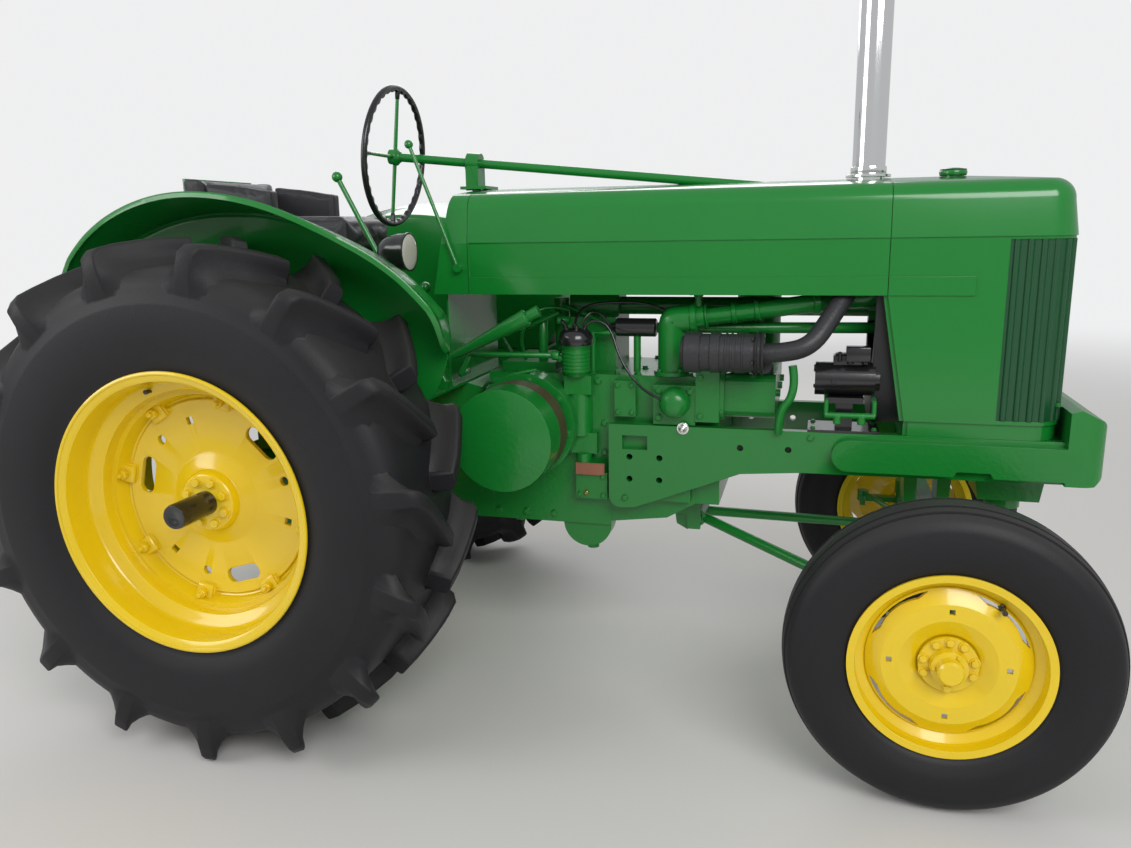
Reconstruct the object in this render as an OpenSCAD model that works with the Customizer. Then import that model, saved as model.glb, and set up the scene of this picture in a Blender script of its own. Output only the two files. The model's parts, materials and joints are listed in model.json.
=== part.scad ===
// Vintage standard-tread farm tractor with a horizontal engine and adjustable steering.
// Millimetres, +X forward, +Z up, right-hand side at -Y, ground at Z = 0.

/* [Stance] */
// Distance between the front and rear axles
wheelbase = 2066; // [1900:1:2200]
// Distance between the rear tyre centre planes
rear_track = 1670; // [1640:1:1760]
// Distance between the front tyre centre planes
front_track = 1358; // [1340:1:1440]
// Drawbar end behind the rear axle
drawbar_reach = 800; // [775:1:900]
// Nose casting front ahead of the front axle
nose_reach = 447; // [440:1:520]

/* [Rear wheels] */
// Radius to the tips of the lugs
rear_tyre_r = 765; // [755:1:790]
// Width of the tyre carcass
rear_tyre_w = 424; // [410:1:440]
// Height of the lugs above the carcass
lug_h = 60; // [35:1:70]
// Lugs on each side of the tread
lug_count = 16; // [12:1:18]
// Angle from a lug's shoulder end to its middle end
lug_sweep = 20; // [10:1:22]
// Radius over the rim flange
rear_rim_r = 411; // [400:1:425]
// Width over the rim flanges
rear_rim_w = 384; // [360:1:396]
// Thickness of the rim
rear_rim_wall = 9; // [5:1:14]
// Radius of the wheel disc
rear_disc_r = 300; // [280:1:310]
// Thickness of the wheel disc
rear_disc_t = 16; // [10:1:24]
// Radius of the rear axle shaft
axle_shaft_r = 36; // [28:1:42]

/* [Front wheels] */
// Radius of the tyre
front_tyre_r = 420; // [405:1:435]
// Width of the tyre
front_tyre_w = 208; // [190:1:220]
// Radius over the rim flange
front_rim_r = 252; // [244:1:262]
// Width over the rim flanges
front_rim_w = 170; // [150:1:180]
// Thickness of the rim
front_rim_wall = 6; // [4:1:9]
// Radius of the stub axle at the outer bearing
stub_r = 20; // [14:1:24]

/* [Front axle and steering] */
// Half distance between the kingpins
kingpin_y = 530; // [515:1:545]
// Radius of the kingpins
kingpin_r = 22; // [16:1:26]
// Length of each steering arm
steer_arm_l = 160; // [130:1:180]
// Steering spindle ahead of the front axle
spindle_ahead = 234; // [215:1:260]
// Radius of the tie rods
tie_rod_r = 11; // [8:1:12]
// Height of the axle beam's centre line
beam_z = 600; // [580:1:620]
// Width of the axle beam
beam_w = 60; // [50:1:68]
// Radius of the radius rods
radius_rod_r = 17; // [12:1:17]

/* [Engine and frame] */
// Half width over the frame rails
rail_y = 260; // [255:1:270]
// Thickness of a frame rail
rail_t = 30; // [20:1:34]
// Height of the rails' top edge
rail_top = 910; // [905:1:920]
// Radius of the equipment bolt holes in the rails
bolt_hole_r = 10; // [6:1:14]
// Crankshaft ahead of the rear axle
crank_x = 789; // [770:1:800]
// Height of the crankshaft
crank_z = 900; // [880:1:915]
// Radius of the belt pulley
pulley_r = 160; // [140:1:170]
// Width of the belt pulley
pulley_w = 190; // [150:1:200]
// Half width of the main case
case_y = 200; // [180:1:205]

/* [Hood and nose] */
// Half width of the hood at its lower edge
hood_y = 270; // [262:1:280]
// Height of the hood's lower edge
hood_low = 1326; // [1310:1:1340]
// Heights of the creases along the hood's side
crease_low = 1380; // [1360:1:1400]
hood_crease = 1490; // [1470:1:1510]
// Height of the hood's top along its middle
hood_top = 1668; // [1655:1:1685]
// Thickness of the hood's sheet
hood_t = 8; // [4:1:12]
// Lower rear corner of the cowl ahead of the rear axle
cowl_x = 481; // [470:1:490]
// Lean of the cowl's rear edge over the hood's side
cowl_lean = 62; // [40:1:80]
// Seam between cowl and hood
cowl_seam = 605; // [590:1:620]
// Seam between hood and nose, behind the front axle
seam_behind = 166; // [146:1:186]
// Front face of the nose ahead of the front axle
nose_ahead = 334; // [319:1:338]
// Radius of the nose's corners in plan
nose_corner = 95; // [70:1:110]
// Lower edge of the nose panels
nose_low = 955; // [950:1:975]
// Ribs on the side stretch of each grille
grille_ribs = 5; // [4:1:6]

/* [Stack] */
// Exhaust stack behind the seam of hood and nose
stack_behind = 60; // [58:1:75]
// Radius of the chrome stack
stack_r = 49; // [35:1:52]
// Height of the stack's top above the ground
stack_top = 2550; // [2300:1:2700]

/* [Driver's place] */
// Radius of the fender's crown about the rear axle
fender_r = 885; // [870:1:900]
// Inner plate of the fender beside the tyre
fender_gap = 23; // [18:1:27]
// Outer edge of the fender's crown outside the tyre's centre plane
fender_over = 35; // [15:1:65]
// Thickness of the fender's sheet
fender_t = 6; // [4:1:8]
// Height of the platform's top
platform_z = 1030; // [1010:1:1040]
// Radius of the steering wheel's rim centre line
wheel_r = 232; // [215:1:240]
// Steering wheel hub ahead of the rear axle
wheel_x = 238; // [220:1:250]
// Height of the steering wheel hub
wheel_z = 1789; // [1770:1:1800]

/* [Hidden] */
$fn = 64;

green = [0.05, 0.42, 0.13];
yellow = [0.96, 0.77, 0.05];
black = [0.07, 0.07, 0.08];
rubber = [0.12, 0.12, 0.13];
chrome = [0.80, 0.82, 0.84];
dark = [0.16, 0.16, 0.17];
glass = [0.85, 0.88, 0.90];

gap = 0.3;          // between pieces of one body that seat on curved faces
bearing = 0.1;      // running clearance of shafts and pins
joint_play = 0.3;   // clearance of the tie rods' eyes
middle_x = (wheelbase + nose_reach - drawbar_reach) / 2;
rear_y = rear_track / 2;
front_y = front_track / 2;
nose_seam = wheelbase - seam_behind;
nose_front = wheelbase + nose_ahead;
stack_x = nose_seam - stack_behind;
fender_in = rear_y - rear_tyre_w / 2 - fender_gap;
fender_out = rear_y + fender_over;
housing_end = rear_y - 145;
rail_end = wheelbase + 338;
fan_z = 1270;

// Places the children in the frame whose X starts at the middle of the tractor's length.
module from_axle() { translate([-middle_x, 0, 0]) children(); }
module both_sides() { children(); mirror([0, 1, 0]) children(); }
module box(x, y, z) {
    translate([x[0], y[0], z[0]]) cube([x[1] - x[0], y[1] - y[0], z[1] - z[0]]);
}
module bar_x(r, x, y, z) {
    translate([x[0], y, z]) rotate([0, 90, 0]) cylinder(r = r, h = x[1] - x[0]);
}
module bar_y(r, x, y, z) {
    translate([x, y[1], z]) rotate([90, 0, 0]) cylinder(r = r, h = y[1] - y[0]);
}
module bar_z(r, x, y, z) { translate([x, y, z[0]]) cylinder(r = r, h = z[1] - z[0]); }
// A straight round bar from point a to point b.
module rod(a, b, r) {
    d = b - a;
    translate(a) rotate([0, acos(d[2] / norm(d)), atan2(d[1], d[0])]) cylinder(r = r, h = norm(d));
}
// An outline drawn in X and Z, filled between two Y planes.
module side_plate(y, points) {
    translate([0, y[1], 0]) rotate([90, 0, 0]) linear_extrude(y[1] - y[0]) polygon(points);
}
// An outline drawn in Y and Z, filled between two X planes.
module cross_plate(x, points) {
    translate([x[0], 0, 0]) rotate([90, 0, 90]) linear_extrude(x[1] - x[0]) polygon(points);
}
// A profile in Y (along the axle) and radius, turned about the axle.
module turned(points, fn = 96) {
    rotate([90, 0, 0]) rotate_extrude($fn = fn) polygon([for (p = points) [p[1], -p[0]]]);
}
// The same profile on the -Y side.
function flip(points) = [for (i = [len(points) - 1:-1:0]) [-points[i][0], points[i][1]]];
function arc(cx, cy, r, a0, a1, n = 8) =
    [for (i = [0:n]) let (a = a0 + (a1 - a0) * i / n) [cx + r * cos(a), cy + r * sin(a)]];

// Rear wheels: the right-hand one is drawn, outer side at -Y, and mirrored for the left.
rim_flange = 25;
rim_seat_r = rear_rim_r - rim_flange;
rim_well_r = rim_seat_r - 40;
rear_facets = 36;
bead_r = (rim_seat_r + 5 + gap) / cos(180 / rear_facets);
carcass_r = rear_tyre_r - lug_h;

// Four corners of a lug's cross-section at a place across the tread, turned about the axle.
function lug_corners(side, across, turn, tip, foot, top_w, foot_w) = [
    for (p = [[-foot_w / 2, foot], [foot_w / 2, foot], [top_w / 2, tip], [-top_w / 2, tip]])
        [p[0] * cos(turn) + p[1] * sin(turn), side * across, p[1] * cos(turn) - p[0] * sin(turn)]];
function at_row(row, side, turn) =
    lug_corners(side, row[0], turn + row[1] * lug_sweep, row[2], row[3], row[4], row[5]);
module lug_span(a, b) {
    hull() polyhedron(concat(a, b), [[0, 1, 2, 3], [7, 6, 5, 4], [0, 4, 5, 1], [1, 5, 6, 2],
        [2, 6, 7, 3], [3, 7, 4, 0]]);
}
// A lug runs from the middle of the tread to the shoulder in two straight spans.
module lug(side, turn) {
    // across the tread, share of the sweep, tip, foot, width at the tip, width at the foot
    rows = [[8, 1, rear_tyre_r, carcass_r - 14, 46, 74],
        [rear_tyre_w * 0.28, 0.45, rear_tyre_r, carcass_r - 20, 46, 84],
        [rear_tyre_w / 2 - 2, 0, rear_tyre_r - 24, carcass_r - 78, 46, 106]];
    for (i = [0, 1]) lug_span(at_row(rows[i], side, turn), at_row(rows[i + 1], side, turn));
}
module rear_tyre() {
    half = rear_tyre_w / 2;
    seat = rear_rim_w / 2 - 16.7;
    right = [[-seat, bead_r], [-seat - 6.2, rear_rim_r + 4], [-half + 3, rear_rim_r + 66],
        [-half + 3, carcass_r - 80], [-half + 42, carcass_r - 18], [-half * 0.45, carcass_r]];
    turned(concat(right, [for (i = [len(right) - 1:-1:0]) [-right[i][0], right[i][1]]]),
        rear_facets);
    for (side = [-1, 1], i = [0:lug_count - 1])
        lug(side, 180 + (i + (side + 1) / 4) * 360 / lug_count - lug_sweep / 2);
}
module rear_wheel() {
    half = rear_rim_w / 2;
    out = [[-half + 10, rear_rim_r], [-half + 16, rim_seat_r + 5], [-half + 70, rim_seat_r],
        [-half + 94, rim_well_r]];
    in = [[-half, rear_rim_r], [-half + 6, rim_seat_r + 5 - rear_rim_wall],
        [-half + 64, rim_seat_r - rear_rim_wall], [-half + 88, rim_well_r - rear_rim_wall]];
    turned(concat(out, [for (i = [3:-1:0]) [-out[i][0], out[i][1]]],
        [for (p = in) [-p[0], p[1]]], [for (i = [3:-1:0]) in[i]]));
    // the rail inside the rim that carries the disc's clamps
    turned([[-16, 322], [-16, rim_well_r - rear_rim_wall + 2], [44, rim_well_r - rear_rim_wall + 2],
        [44, 322], [36, 308], [22, 308], [-4, 318]]);
    disc_y = 22;
    difference() {
        union() {
            bar_y(rear_disc_r, 0, [disc_y, disc_y + rear_disc_t], 0);
            turned([[disc_y, 0], [disc_y, 135], [disc_y - 12, 118], [disc_y - 18, 96],
                [disc_y - 44, 90], [disc_y - 50, 84], [disc_y - 50, 0]]);
            bar_y(86, 0, [disc_y, disc_y + 60], 0);
            for (i = [0:7]) rotate([0, 45 * i + 12, 0])
                box([-30, 30], [disc_y - 12, disc_y + 8], [rear_disc_r - 22, 330]);
        }
        for (i = [0:3]) rotate([0, 90 * i + 40, 0])
            side_plate([disc_y - 30, disc_y + 40],
                concat(arc(32, 218, 23, -90, 90), arc(-32, 218, 23, 90, 270)));
        for (i = [0:3]) rotate([0, 90 * i + 85, 0])
            box([-11, 11], [disc_y - 30, disc_y + 40], [205, 227]);
    }
    bar_y(axle_shaft_r, 0, [-165, rear_y - case_y - 40], 0);
}

// Front wheels
module front_tyre() {
    half = front_tyre_w / 2;
    seat = front_rim_w / 2 - 10;
    r = front_tyre_r;
    side = [[-seat, front_rim_r - 14 + gap], [-seat - 2.5, front_rim_r + 4],
        [-half + 4, front_rim_r + 44], [-half, front_rim_r + 82], [-half + 10, r - 40],
        [-half + 30, r - 16], [-62, r - 9], [-54, r - 4], [-38, r - 2], [-36, r - 16],
        [-24, r - 16], [-22, r - 1], [-12, r]];
    turned(concat(side, [for (i = [len(side) - 1:-1:0]) [-side[i][0], side[i][1]]]));
}
module front_wheel() {
    half = front_rim_w / 2;
    t = front_rim_wall;
    seat = front_rim_r - 14;
    well = front_rim_r - 44;
    out = [[-half + 7, front_rim_r], [-half + 9, seat], [-half + 40, seat - 3], [-half + 56, well]];
    in = [[-half, front_rim_r], [-half + 2, seat - t], [-half + 36, seat - 3 - t],
        [-half + 52, well - t]];
    turned(concat(out, [for (i = [3:-1:0]) [-out[i][0], out[i][1]]],
        [for (p = in) [-p[0], p[1]]], [for (i = [3:-1:0]) in[i]]));
    hub_r = 46;
    difference() {
        union() {
            turned([[-18, hub_r - 8], [-46, 80], [-62, 120], [-62, 165], [-40, well - t + 2],
                [-26, well - t + 2], [-52, 163], [-52, 124], [-37, 84], [-6, hub_r - 8]]);
            turned([[-118, 0], [-118, 27], [-112, 33], [-88, 34], [-84, hub_r], [-62, hub_r + 3],
                [-60, 74], [-48, 74], [-40, 52], [30, 50], [60, 44], [60, 0]]);
        }
        bar_y(stub_r + bearing, 0, [-80, 70], 0);
        bar_y(stub_r + 12, 0, [20, 70], 0);
        for (i = [0:3]) rotate([0, 90 * i + 45, 0]) translate([0, -10, 0]) rotate([90, 0, 0])
            linear_extrude(90) polygon(concat(arc(0, 0, well - t - 3, 62, 118, 10),
                arc(0, 60, 132, 118, 62, 10)));
        for (i = [0:3]) rotate([0, 90 * i, 0])
            box([-7, 7], [-80, -30], [138, 152]);
    }
}

// Main castings
case_end = 640;
block_start = 1060;
module transmission_case() {
    color(green) from_axle() difference() {
        union() {
            side_plate([-case_y, case_y], [[-250, 560], [-190, 500], [330, 500], [430, 545],
                [case_end, 545], [case_end, 1000], [560, 1020], [-180, 1020], [-250, 960]]);
            box([-285, -250], [-150, 150], [600, 930]);
            for (z = [640, 890]) for (y = [-110, 110]) bar_x(15, [-297, -285], y, z);
            bar_x(62, [-320, -285], 0, 640);
            box([-250, 600], [-case_y - 22, case_y + 22], [740, 775]);
        }
        bar_y(axle_shaft_r + 25, 0, [-case_y - 1, case_y + 1], rear_tyre_r);
        both_sides() bar_y(166, 0, [case_y, case_y + 30], rear_tyre_r);
        bar_x(18, [-330, -270], 0, 640);
    }
    color(chrome) from_axle() {
        bar_x(17.46, [-396, -320], 0, 640);
        bar_x(17, [-320, -270], 0, 640);
    }
}
module axle_housings() {
    color(green) from_axle() both_sides() translate([0, 0, rear_tyre_r]) difference() {
        turned(flip([[case_y, 0], [case_y, 165], [case_y + 24, 165], [case_y + 40, 128],
            [housing_end - 260, 104], [housing_end - 170, 96], [housing_end - 150, 118],
            [housing_end - 130, 118], [housing_end - 124, 88], [housing_end, 72],
            [housing_end, 0]]));
        bar_y(axle_shaft_r + bearing, 0, [-housing_end - 1, -case_y + 1], 0);
    }
}
module crankcase() {
    fan_mount = wheelbase - 176;
    color(green) from_axle() difference() {
        union() {
            side_plate([-case_y, case_y], [[case_end, 545], [block_start, 545],
                [block_start, 1062], [case_end, 1062]]);
            both_sides() bar_y(172, crank_x, [case_y, 300], crank_z);
            bar_y(74, crank_x, [-328, -300], crank_z);
            // the ignition drive's tower and the oil strainer's box with its bulge
            box([915, 1006], [-246, -case_y], [1000, 1062]);
            bar_z(40, 960, -206, [860, 1000]);
            box([928, 1020], [-232, -case_y], [800, 870]);
            bar_z(26, 974, -222, [738, 800]);
            box([948, 1056], [-238, -case_y], [646, 738]);
            bar_y(84, 975, [-190, -case_y + 80], 545);
            bar_z(20, 985, -150, [446, 470]);
            bar_z(17, 722, -150, [528, 545]);
            box([670, 860], [-150, 150], [1062, 1090]);
            box([880, block_start], [-110, 110], [1062, 1240]);
            bar_x(70, [890, block_start], 0, fan_z);
            bar_x(30, [block_start, fan_mount], 0, fan_z);
            bar_x(44, [fan_mount - 28, fan_mount], 0, fan_z);
        }
        bar_y(28 + bearing, crank_x, [-330, -150], crank_z);
        bar_x(12 + bearing, [fan_mount - 190, fan_mount + 1], 0, fan_z);
    }
}
module cylinder_block() {
    inner = rail_y - rail_t;
    color(green) from_axle() difference() {
        union() {
            side_plate([-case_y, case_y], [[block_start, 560], [1250, 585], [1345, 640],
                [1345, 1062], [block_start, 1062]]);
            // the raised bosses above the rails, the water pipe's seat and the ball
            box([1210, 1345], [-246, -case_y], [rail_top + 2, 1040]);
            box([1080, 1150], [-232, -case_y], [rail_top + 20, 1048]);
            bar_y(46, 1281, [-276, -246], 988);
            bar_y(30, 1281, [-300, -276], 988);
            both_sides() box([1072, 1330], [case_y, inner], [650, rail_top - 10]);
            side_plate([-58, 58], [[1250, 600], [1262, 520], [1300, 500], [1300, 620]]);
            both_sides() box([1299, 1345], [59, 74], [508, 640]);
            box([1240, 1300], [-74, 74], [560, 640]);
            bar_y(17.5, 1332, [-74, 74], 545);
        }
        both_sides() rail_bolts([inner - 60, inner + 1]);
    }
}
// A block with its edges along X rounded by r.
module soft_x(x, y, z, r) {
    cross_plate(x, concat(arc(y[1] - r, z[0] + r, r, -90, 0, 5), arc(y[1] - r, z[1] - r, r, 0, 90, 5),
        arc(y[0] + r, z[1] - r, r, 90, 180, 5), arc(y[0] + r, z[0] + r, r, 180, 270, 5)));
}
module cylinder_head() {
    color(green) from_axle() {
        box([1345, 1420], [-case_y, case_y], [640, 925]);
        box([1345, 1420], [-250, 250], [925, 1089]);
        soft_x([1434, 1590], [-236, 236], [938, 1080], 34);
        soft_x([1420, 1434], [-248, 248], [926, 1092], 40);
        for (y = [-150, 0, 150]) bar_x(12, [1590, 1602], y, 1009);
    }
}
// The four tapped holes on each side that take mounted equipment.
module rail_bolts(y) {
    for (x = [-49, 49], z = [-37, 37]) bar_y(bolt_hole_r, 1184 + x, y, 766 + z);
}
module frame_rails() {
    color(green) from_axle() both_sides() difference() {
        side_plate([rail_y - rail_t, rail_y], concat([[rail_end, rail_top], [1066, rail_top],
            [1066, 668]], arc(1106, 668, 40, 180, 258, 4), [[1150, 632], [1365, 715], [1490, 765],
            [1673, 779], [rail_end, 785]]));
        box([1111, 1193], [rail_y - rail_t - 1, rail_y + 1], [828, 874]);
        for (p = [[1488, 849], [1635, 850]])
            bar_y(10, p[0], [rail_y - rail_t - 1, rail_y + 1], p[1]);
        rail_bolts([rail_y - rail_t - 1, rail_y + 1]);
    }
}
module front_bolster() {
    front = wheelbase + nose_reach;
    arm_y = rail_y + 30;
    inner = rail_y - rail_t;
    color(green) from_axle() {
        difference() {
            union() {
                intersection() {
                    side_plate([-arm_y, arm_y], [[rail_end, 787], [rail_end, 1000], [rail_end + 28, 1009],
                        [front - 16, 975], [front, 955], [front, 812], [front - 30, 787]]);
                    translate([0, 0, 700]) linear_extrude(400) polygon(concat(
                        [[wheelbase + 234, -arm_y]], arc(front - 70, -arm_y + 70, 70, -90, 0),
                        arc(front - 70, arm_y - 70, 70, 0, 90), [[wheelbase + 234, arm_y]]));
                }
                box([wheelbase - 81, rail_end], [-inner, inner], [787, 903]);
                both_sides() side_plate([rail_y, arm_y], concat([[rail_end, 896]],
                    arc(wheelbase - 254, 847, 49, 90, 270, 10), [[wheelbase + 42, 798],
                    [wheelbase + 52, 814], [wheelbase + 142, 814], [wheelbase + 152, 798],
                    [rail_end, 798]]));
                side_plate([-95, 95], [for (p = [[130, 787], [146, 680], [322, 680], [338, 787]])
                    [wheelbase + p[0], p[1]]]);
                bar_z(52, wheelbase + spindle_ahead, 0, [640, 700]);
                for (s = [-1, 1])
                    side_plate([-62, 62], [for (p = [[74, 787], [62, 556], [beam_w / 2 + gap, 556],
                        [beam_w / 2 + gap, 787]]) [wheelbase + s * p[0], p[1]]]);
                bar_x(25, [wheelbase - 76, wheelbase + 76], 0, beam_z);
            }
            bar_z(24 + bearing, wheelbase + spindle_ahead, 0, [630, 740]);
        }
    }
}
module front_axle() {
    arch = [[446, beam_z - 52], [0, beam_z - 42], [0, beam_z + 50], [250, beam_z + 50],
        [478, beam_z - 4], [478, beam_z - 52]];
    color(green) from_axle() difference() {
        union() {
            both_sides() cross_plate([wheelbase - beam_w / 2, wheelbase + beam_w / 2], arch);
            both_sides() for (z = [[508, 558], [312, 352]]) {
                bar_z(kingpin_r + 22, wheelbase, kingpin_y, z);
                box([wheelbase - 30, wheelbase + 30], [kingpin_y - 63, kingpin_y], z);
            }
            both_sides() translate([0, 0, 312]) linear_extrude(246) polygon([
                [wheelbase + 30, kingpin_y - 84], [wheelbase - 10, kingpin_y - 84],
                [wheelbase - 26, kingpin_y - 63], [wheelbase - 26, kingpin_y - 52],
                [wheelbase + 30, kingpin_y - 52]]);
            both_sides() rod([1338, 30, 545], [wheelbase + 10, kingpin_y - 68, 395], radius_rod_r);
            bar_y(31, 1332, [-58, 58], 545);
        }
        both_sides() bar_z(kingpin_r + bearing, wheelbase, kingpin_y, [300, 700]);
        bar_x(25 + gap, [wheelbase - 116, wheelbase + 134], 0, beam_z);
        bar_y(18, 1332, [-60, 60], 545);
    }
}
// Hood cross-section: half outline from the lower edge to the top middle, inset by t.
hood_round = 60;
function hood_half(t, low) = concat([[hood_y - t, low], [hood_y - t, hood_crease]],
    arc(hood_y - 14 - hood_round, hood_top - 80, hood_round - t, 0, 76, 6), [[0, hood_top - t]]);
function hood_outline(t, low) = let (half = hood_half(t, low))
    concat(half, [for (i = [len(half) - 2:-1:0]) [-half[i][0], half[i][1]]]);
shaft_slope = 6.07;
module along_shaft() { translate([wheel_x, 0, wheel_z]) rotate([0, shaft_slope, 0]) children(); }
module hood() {
    color(green) from_axle() difference() {
        cross_plate([cowl_seam, nose_seam - 2], hood_outline(0, hood_low));
        cross_plate([cowl_seam - 1, nose_seam], hood_outline(hood_t, hood_low - 1));
        side_panel(cowl_seam + 4);
        along_shaft() bar_x(21, [700, 1600], 0, 0);
        bar_z(stack_r + 6, stack_x, 0, [1500, 1800]);
    }
}
// The shallow panel between the creases of the hood's sides.
module side_panel(start) {
    both_sides() box([start, wheelbase + 67], [hood_y - 4, hood_y + 1], [crease_low, hood_crease]);
}
// The cowl's leaning rear edge with its rounded top, moved forward by t.
function cowl_edge(t) = let (x = cowl_x + cowl_lean + t)
    concat([[x + 30, hood_top + 20]], arc(x + 30, hood_top - 30, 30, 90, 168, 5));
module cowl() {
    color(green) from_axle() difference() {
        intersection() {
            cross_plate([cowl_x, cowl_seam - 2], hood_outline(0, hood_low));
            side_plate([-400, 400], concat([[cowl_seam, hood_low], [cowl_seam, hood_top + 20]],
                cowl_edge(0), [[cowl_x, hood_low]]));
        }
        intersection() {
            cross_plate([cowl_x + 10, cowl_seam + 1], hood_outline(hood_t, hood_low - 1));
            side_plate([-400, 400], concat([[cowl_seam + 1, hood_low - 1],
                [cowl_seam + 1, hood_top + 20]], cowl_edge(11), [[cowl_x + 11, hood_low - 1]]));
        }
    }
    color(green) from_axle() seam_lip([cowl_seam - 12, cowl_seam - 2], [cowl_seam - 2, cowl_seam + 16]);
}
// A lip that the hood rests on: fixed under its own sheet, free under the hood's.
module seam_lip(fixed, free) {
    difference() {
        union() {
            cross_plate(fixed, hood_outline(hood_t - 1, hood_low));
            cross_plate(free, hood_outline(hood_t + gap, hood_low));
        }
        cross_plate([min(fixed[0], free[0]) - 1, max(fixed[1], free[1]) + 1],
            hood_outline(hood_t + 6, hood_low - 1));
    }
}
grille_x = wheelbase + 140;
cap_x = wheelbase + 19;
function nose_plan(t) = concat([[nose_seam - 50, -hood_y + t]],
    arc(nose_front - nose_corner, -hood_y + nose_corner, nose_corner - t, -90, 0, 10),
    arc(nose_front - nose_corner, hood_y - nose_corner, nose_corner - t, 0, 90, 10),
    [[nose_seam - 50, hood_y - t]]);
module nose_solid(t, low) {
    intersection() {
        translate([0, 0, low]) linear_extrude(800) polygon(nose_plan(t));
        cross_plate([nose_seam - 50, nose_front + 1], hood_outline(t, low));
        side_plate([-400, 400], concat([[nose_seam, 1800], [nose_seam, 1325], [nose_seam + 64, 955],
            [nose_seam + 64, low], [nose_front - t, low]],
            arc(nose_front - 45, hood_top - 45, 45 - t, 0, 90, 6), [[nose_front - 45, 1800]]));
    }
}
module nose_shell() {
    color(green) from_axle() difference() {
        union() {
            nose_solid(0, nose_low);
            intersection() {
                nose_solid(6, rail_top);
                box([wheelbase - 90, nose_front + 100], [-400, 400], [rail_top, nose_low]);
            }
        }
        intersection() {
            nose_solid(hood_t, 900);
            box([nose_seam - 100, nose_front + 100], [-400, 400], [nose_low, 1800]);
        }
        side_panel(nose_seam - 100);
        box([wheelbase - 90, wheelbase + 274], [-hood_y + 16, hood_y - 16], [900, nose_low + 1]);
        both_sides() box([grille_x + 8, nose_front + 50], [26, 300],
            [nose_low + 12, hood_crease - 8]);
        bar_z(46, cap_x, 0, [1600, 1700]);
    }
    color(green) from_axle() seam_lip([nose_seam, nose_seam + 12], [nose_seam - 8, nose_seam]);
}
// A grille strip in plan: straight side, round corner, straight front, with round ribs.
module grille_side() {
    in = hood_t + gap;
    r = nose_corner - in;
    cx = nose_front - nose_corner;
    cy = -hood_y + nose_corner;
    side_l = cx - grille_x;
    front_l = -cy - 14;
    arc_l = r * PI / 2;
    total = side_l + arc_l + front_l;
    count = grille_ribs * 2 + 1;
    wall = 3;
    translate([0, 0, nose_low + 4]) linear_extrude(hood_crease - nose_low - 5)
        polygon(concat([[grille_x, -hood_y + in]], arc(cx, cy, r, -90, 0, 10),
            [[nose_front - in, -14], [nose_front - in - wall, -14]],
            arc(cx, cy, r - wall, 0, -90, 10), [[grille_x, -hood_y + in + wall]]));
    translate([0, 0, nose_low + 12 + gap]) linear_extrude(hood_crease - nose_low - 20 - 2 * gap)
        for (i = [0:count - 1]) {
            s = 26 + i * (total - 50) / (count - 1);
            if (s < side_l) translate([grille_x + s, -hood_y + in + 1]) circle(9, $fn = 24);
            else if (s < side_l + arc_l) translate([cx, cy]) rotate(-90 + (s - side_l) / arc_l * 90)
                translate([r - 1, 0]) circle(9, $fn = 24);
            else translate([nose_front - in - 1, cy + s - side_l - arc_l]) circle(9, $fn = 24);
        }
}
module grille() { color(green) from_axle() both_sides() grille_side(); }
module radiator() {
    back = wheelbase - 82;
    core = wheelbase + 4;
    color(dark) from_axle() {
        box([core, core + 110], [-225, 225], [903, 1560]);
        difference() {
            box([back, core], [-232, 232], [fan_z - 232, fan_z + 232]);
            bar_x(214, [back - 1, core + 0.5], 0, fan_z);
        }
    }
    color(green) from_axle() {
        box([core - 20, core + 126], [-215, 215], [1560, 1630]);
        bar_z(30, cap_x, 0, [1630, 1668]);
        bar_z(38, cap_x, 0, [1668, 1687]);
    }
}
module exhaust_manifold() {
    r = 29;
    path = [[1555, -330, 1162], [1660, -330, 1176], [stack_x - 50, -215, 1330],
        [stack_x, -60, 1400], [stack_x, 0, 1450], [stack_x, 0, 1600]];
    color(dark) from_axle() {
        bar_x(57, [1330, 1556], -330, 1159);
        bar_x(48, [1312, 1330], -330, 1159);
        for (x = [1478, 1552]) {
            bar_y(30, x, [-300, -200], 1122);
            bar_z(33, x, -200, [1080, 1122]);
            translate([x, -200, 1122]) sphere(34);
        }
        for (i = [0:len(path) - 2]) rod(path[i], path[i + 1], r);
        for (i = [1:len(path) - 2]) translate(path[i]) sphere(r + 1);
    }
}
module exhaust_stack() {
    color(chrome) from_axle() difference() {
        union() {
            bar_z(stack_r, stack_x, 0, [1600, stack_top]);
            bar_z(stack_r + 18, stack_x, 0, [hood_top + 2, hood_top + 10]);
        }
        bar_z(stack_r - 3, stack_x, 0, [stack_top - 300, stack_top + 1]);
    }
}
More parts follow.
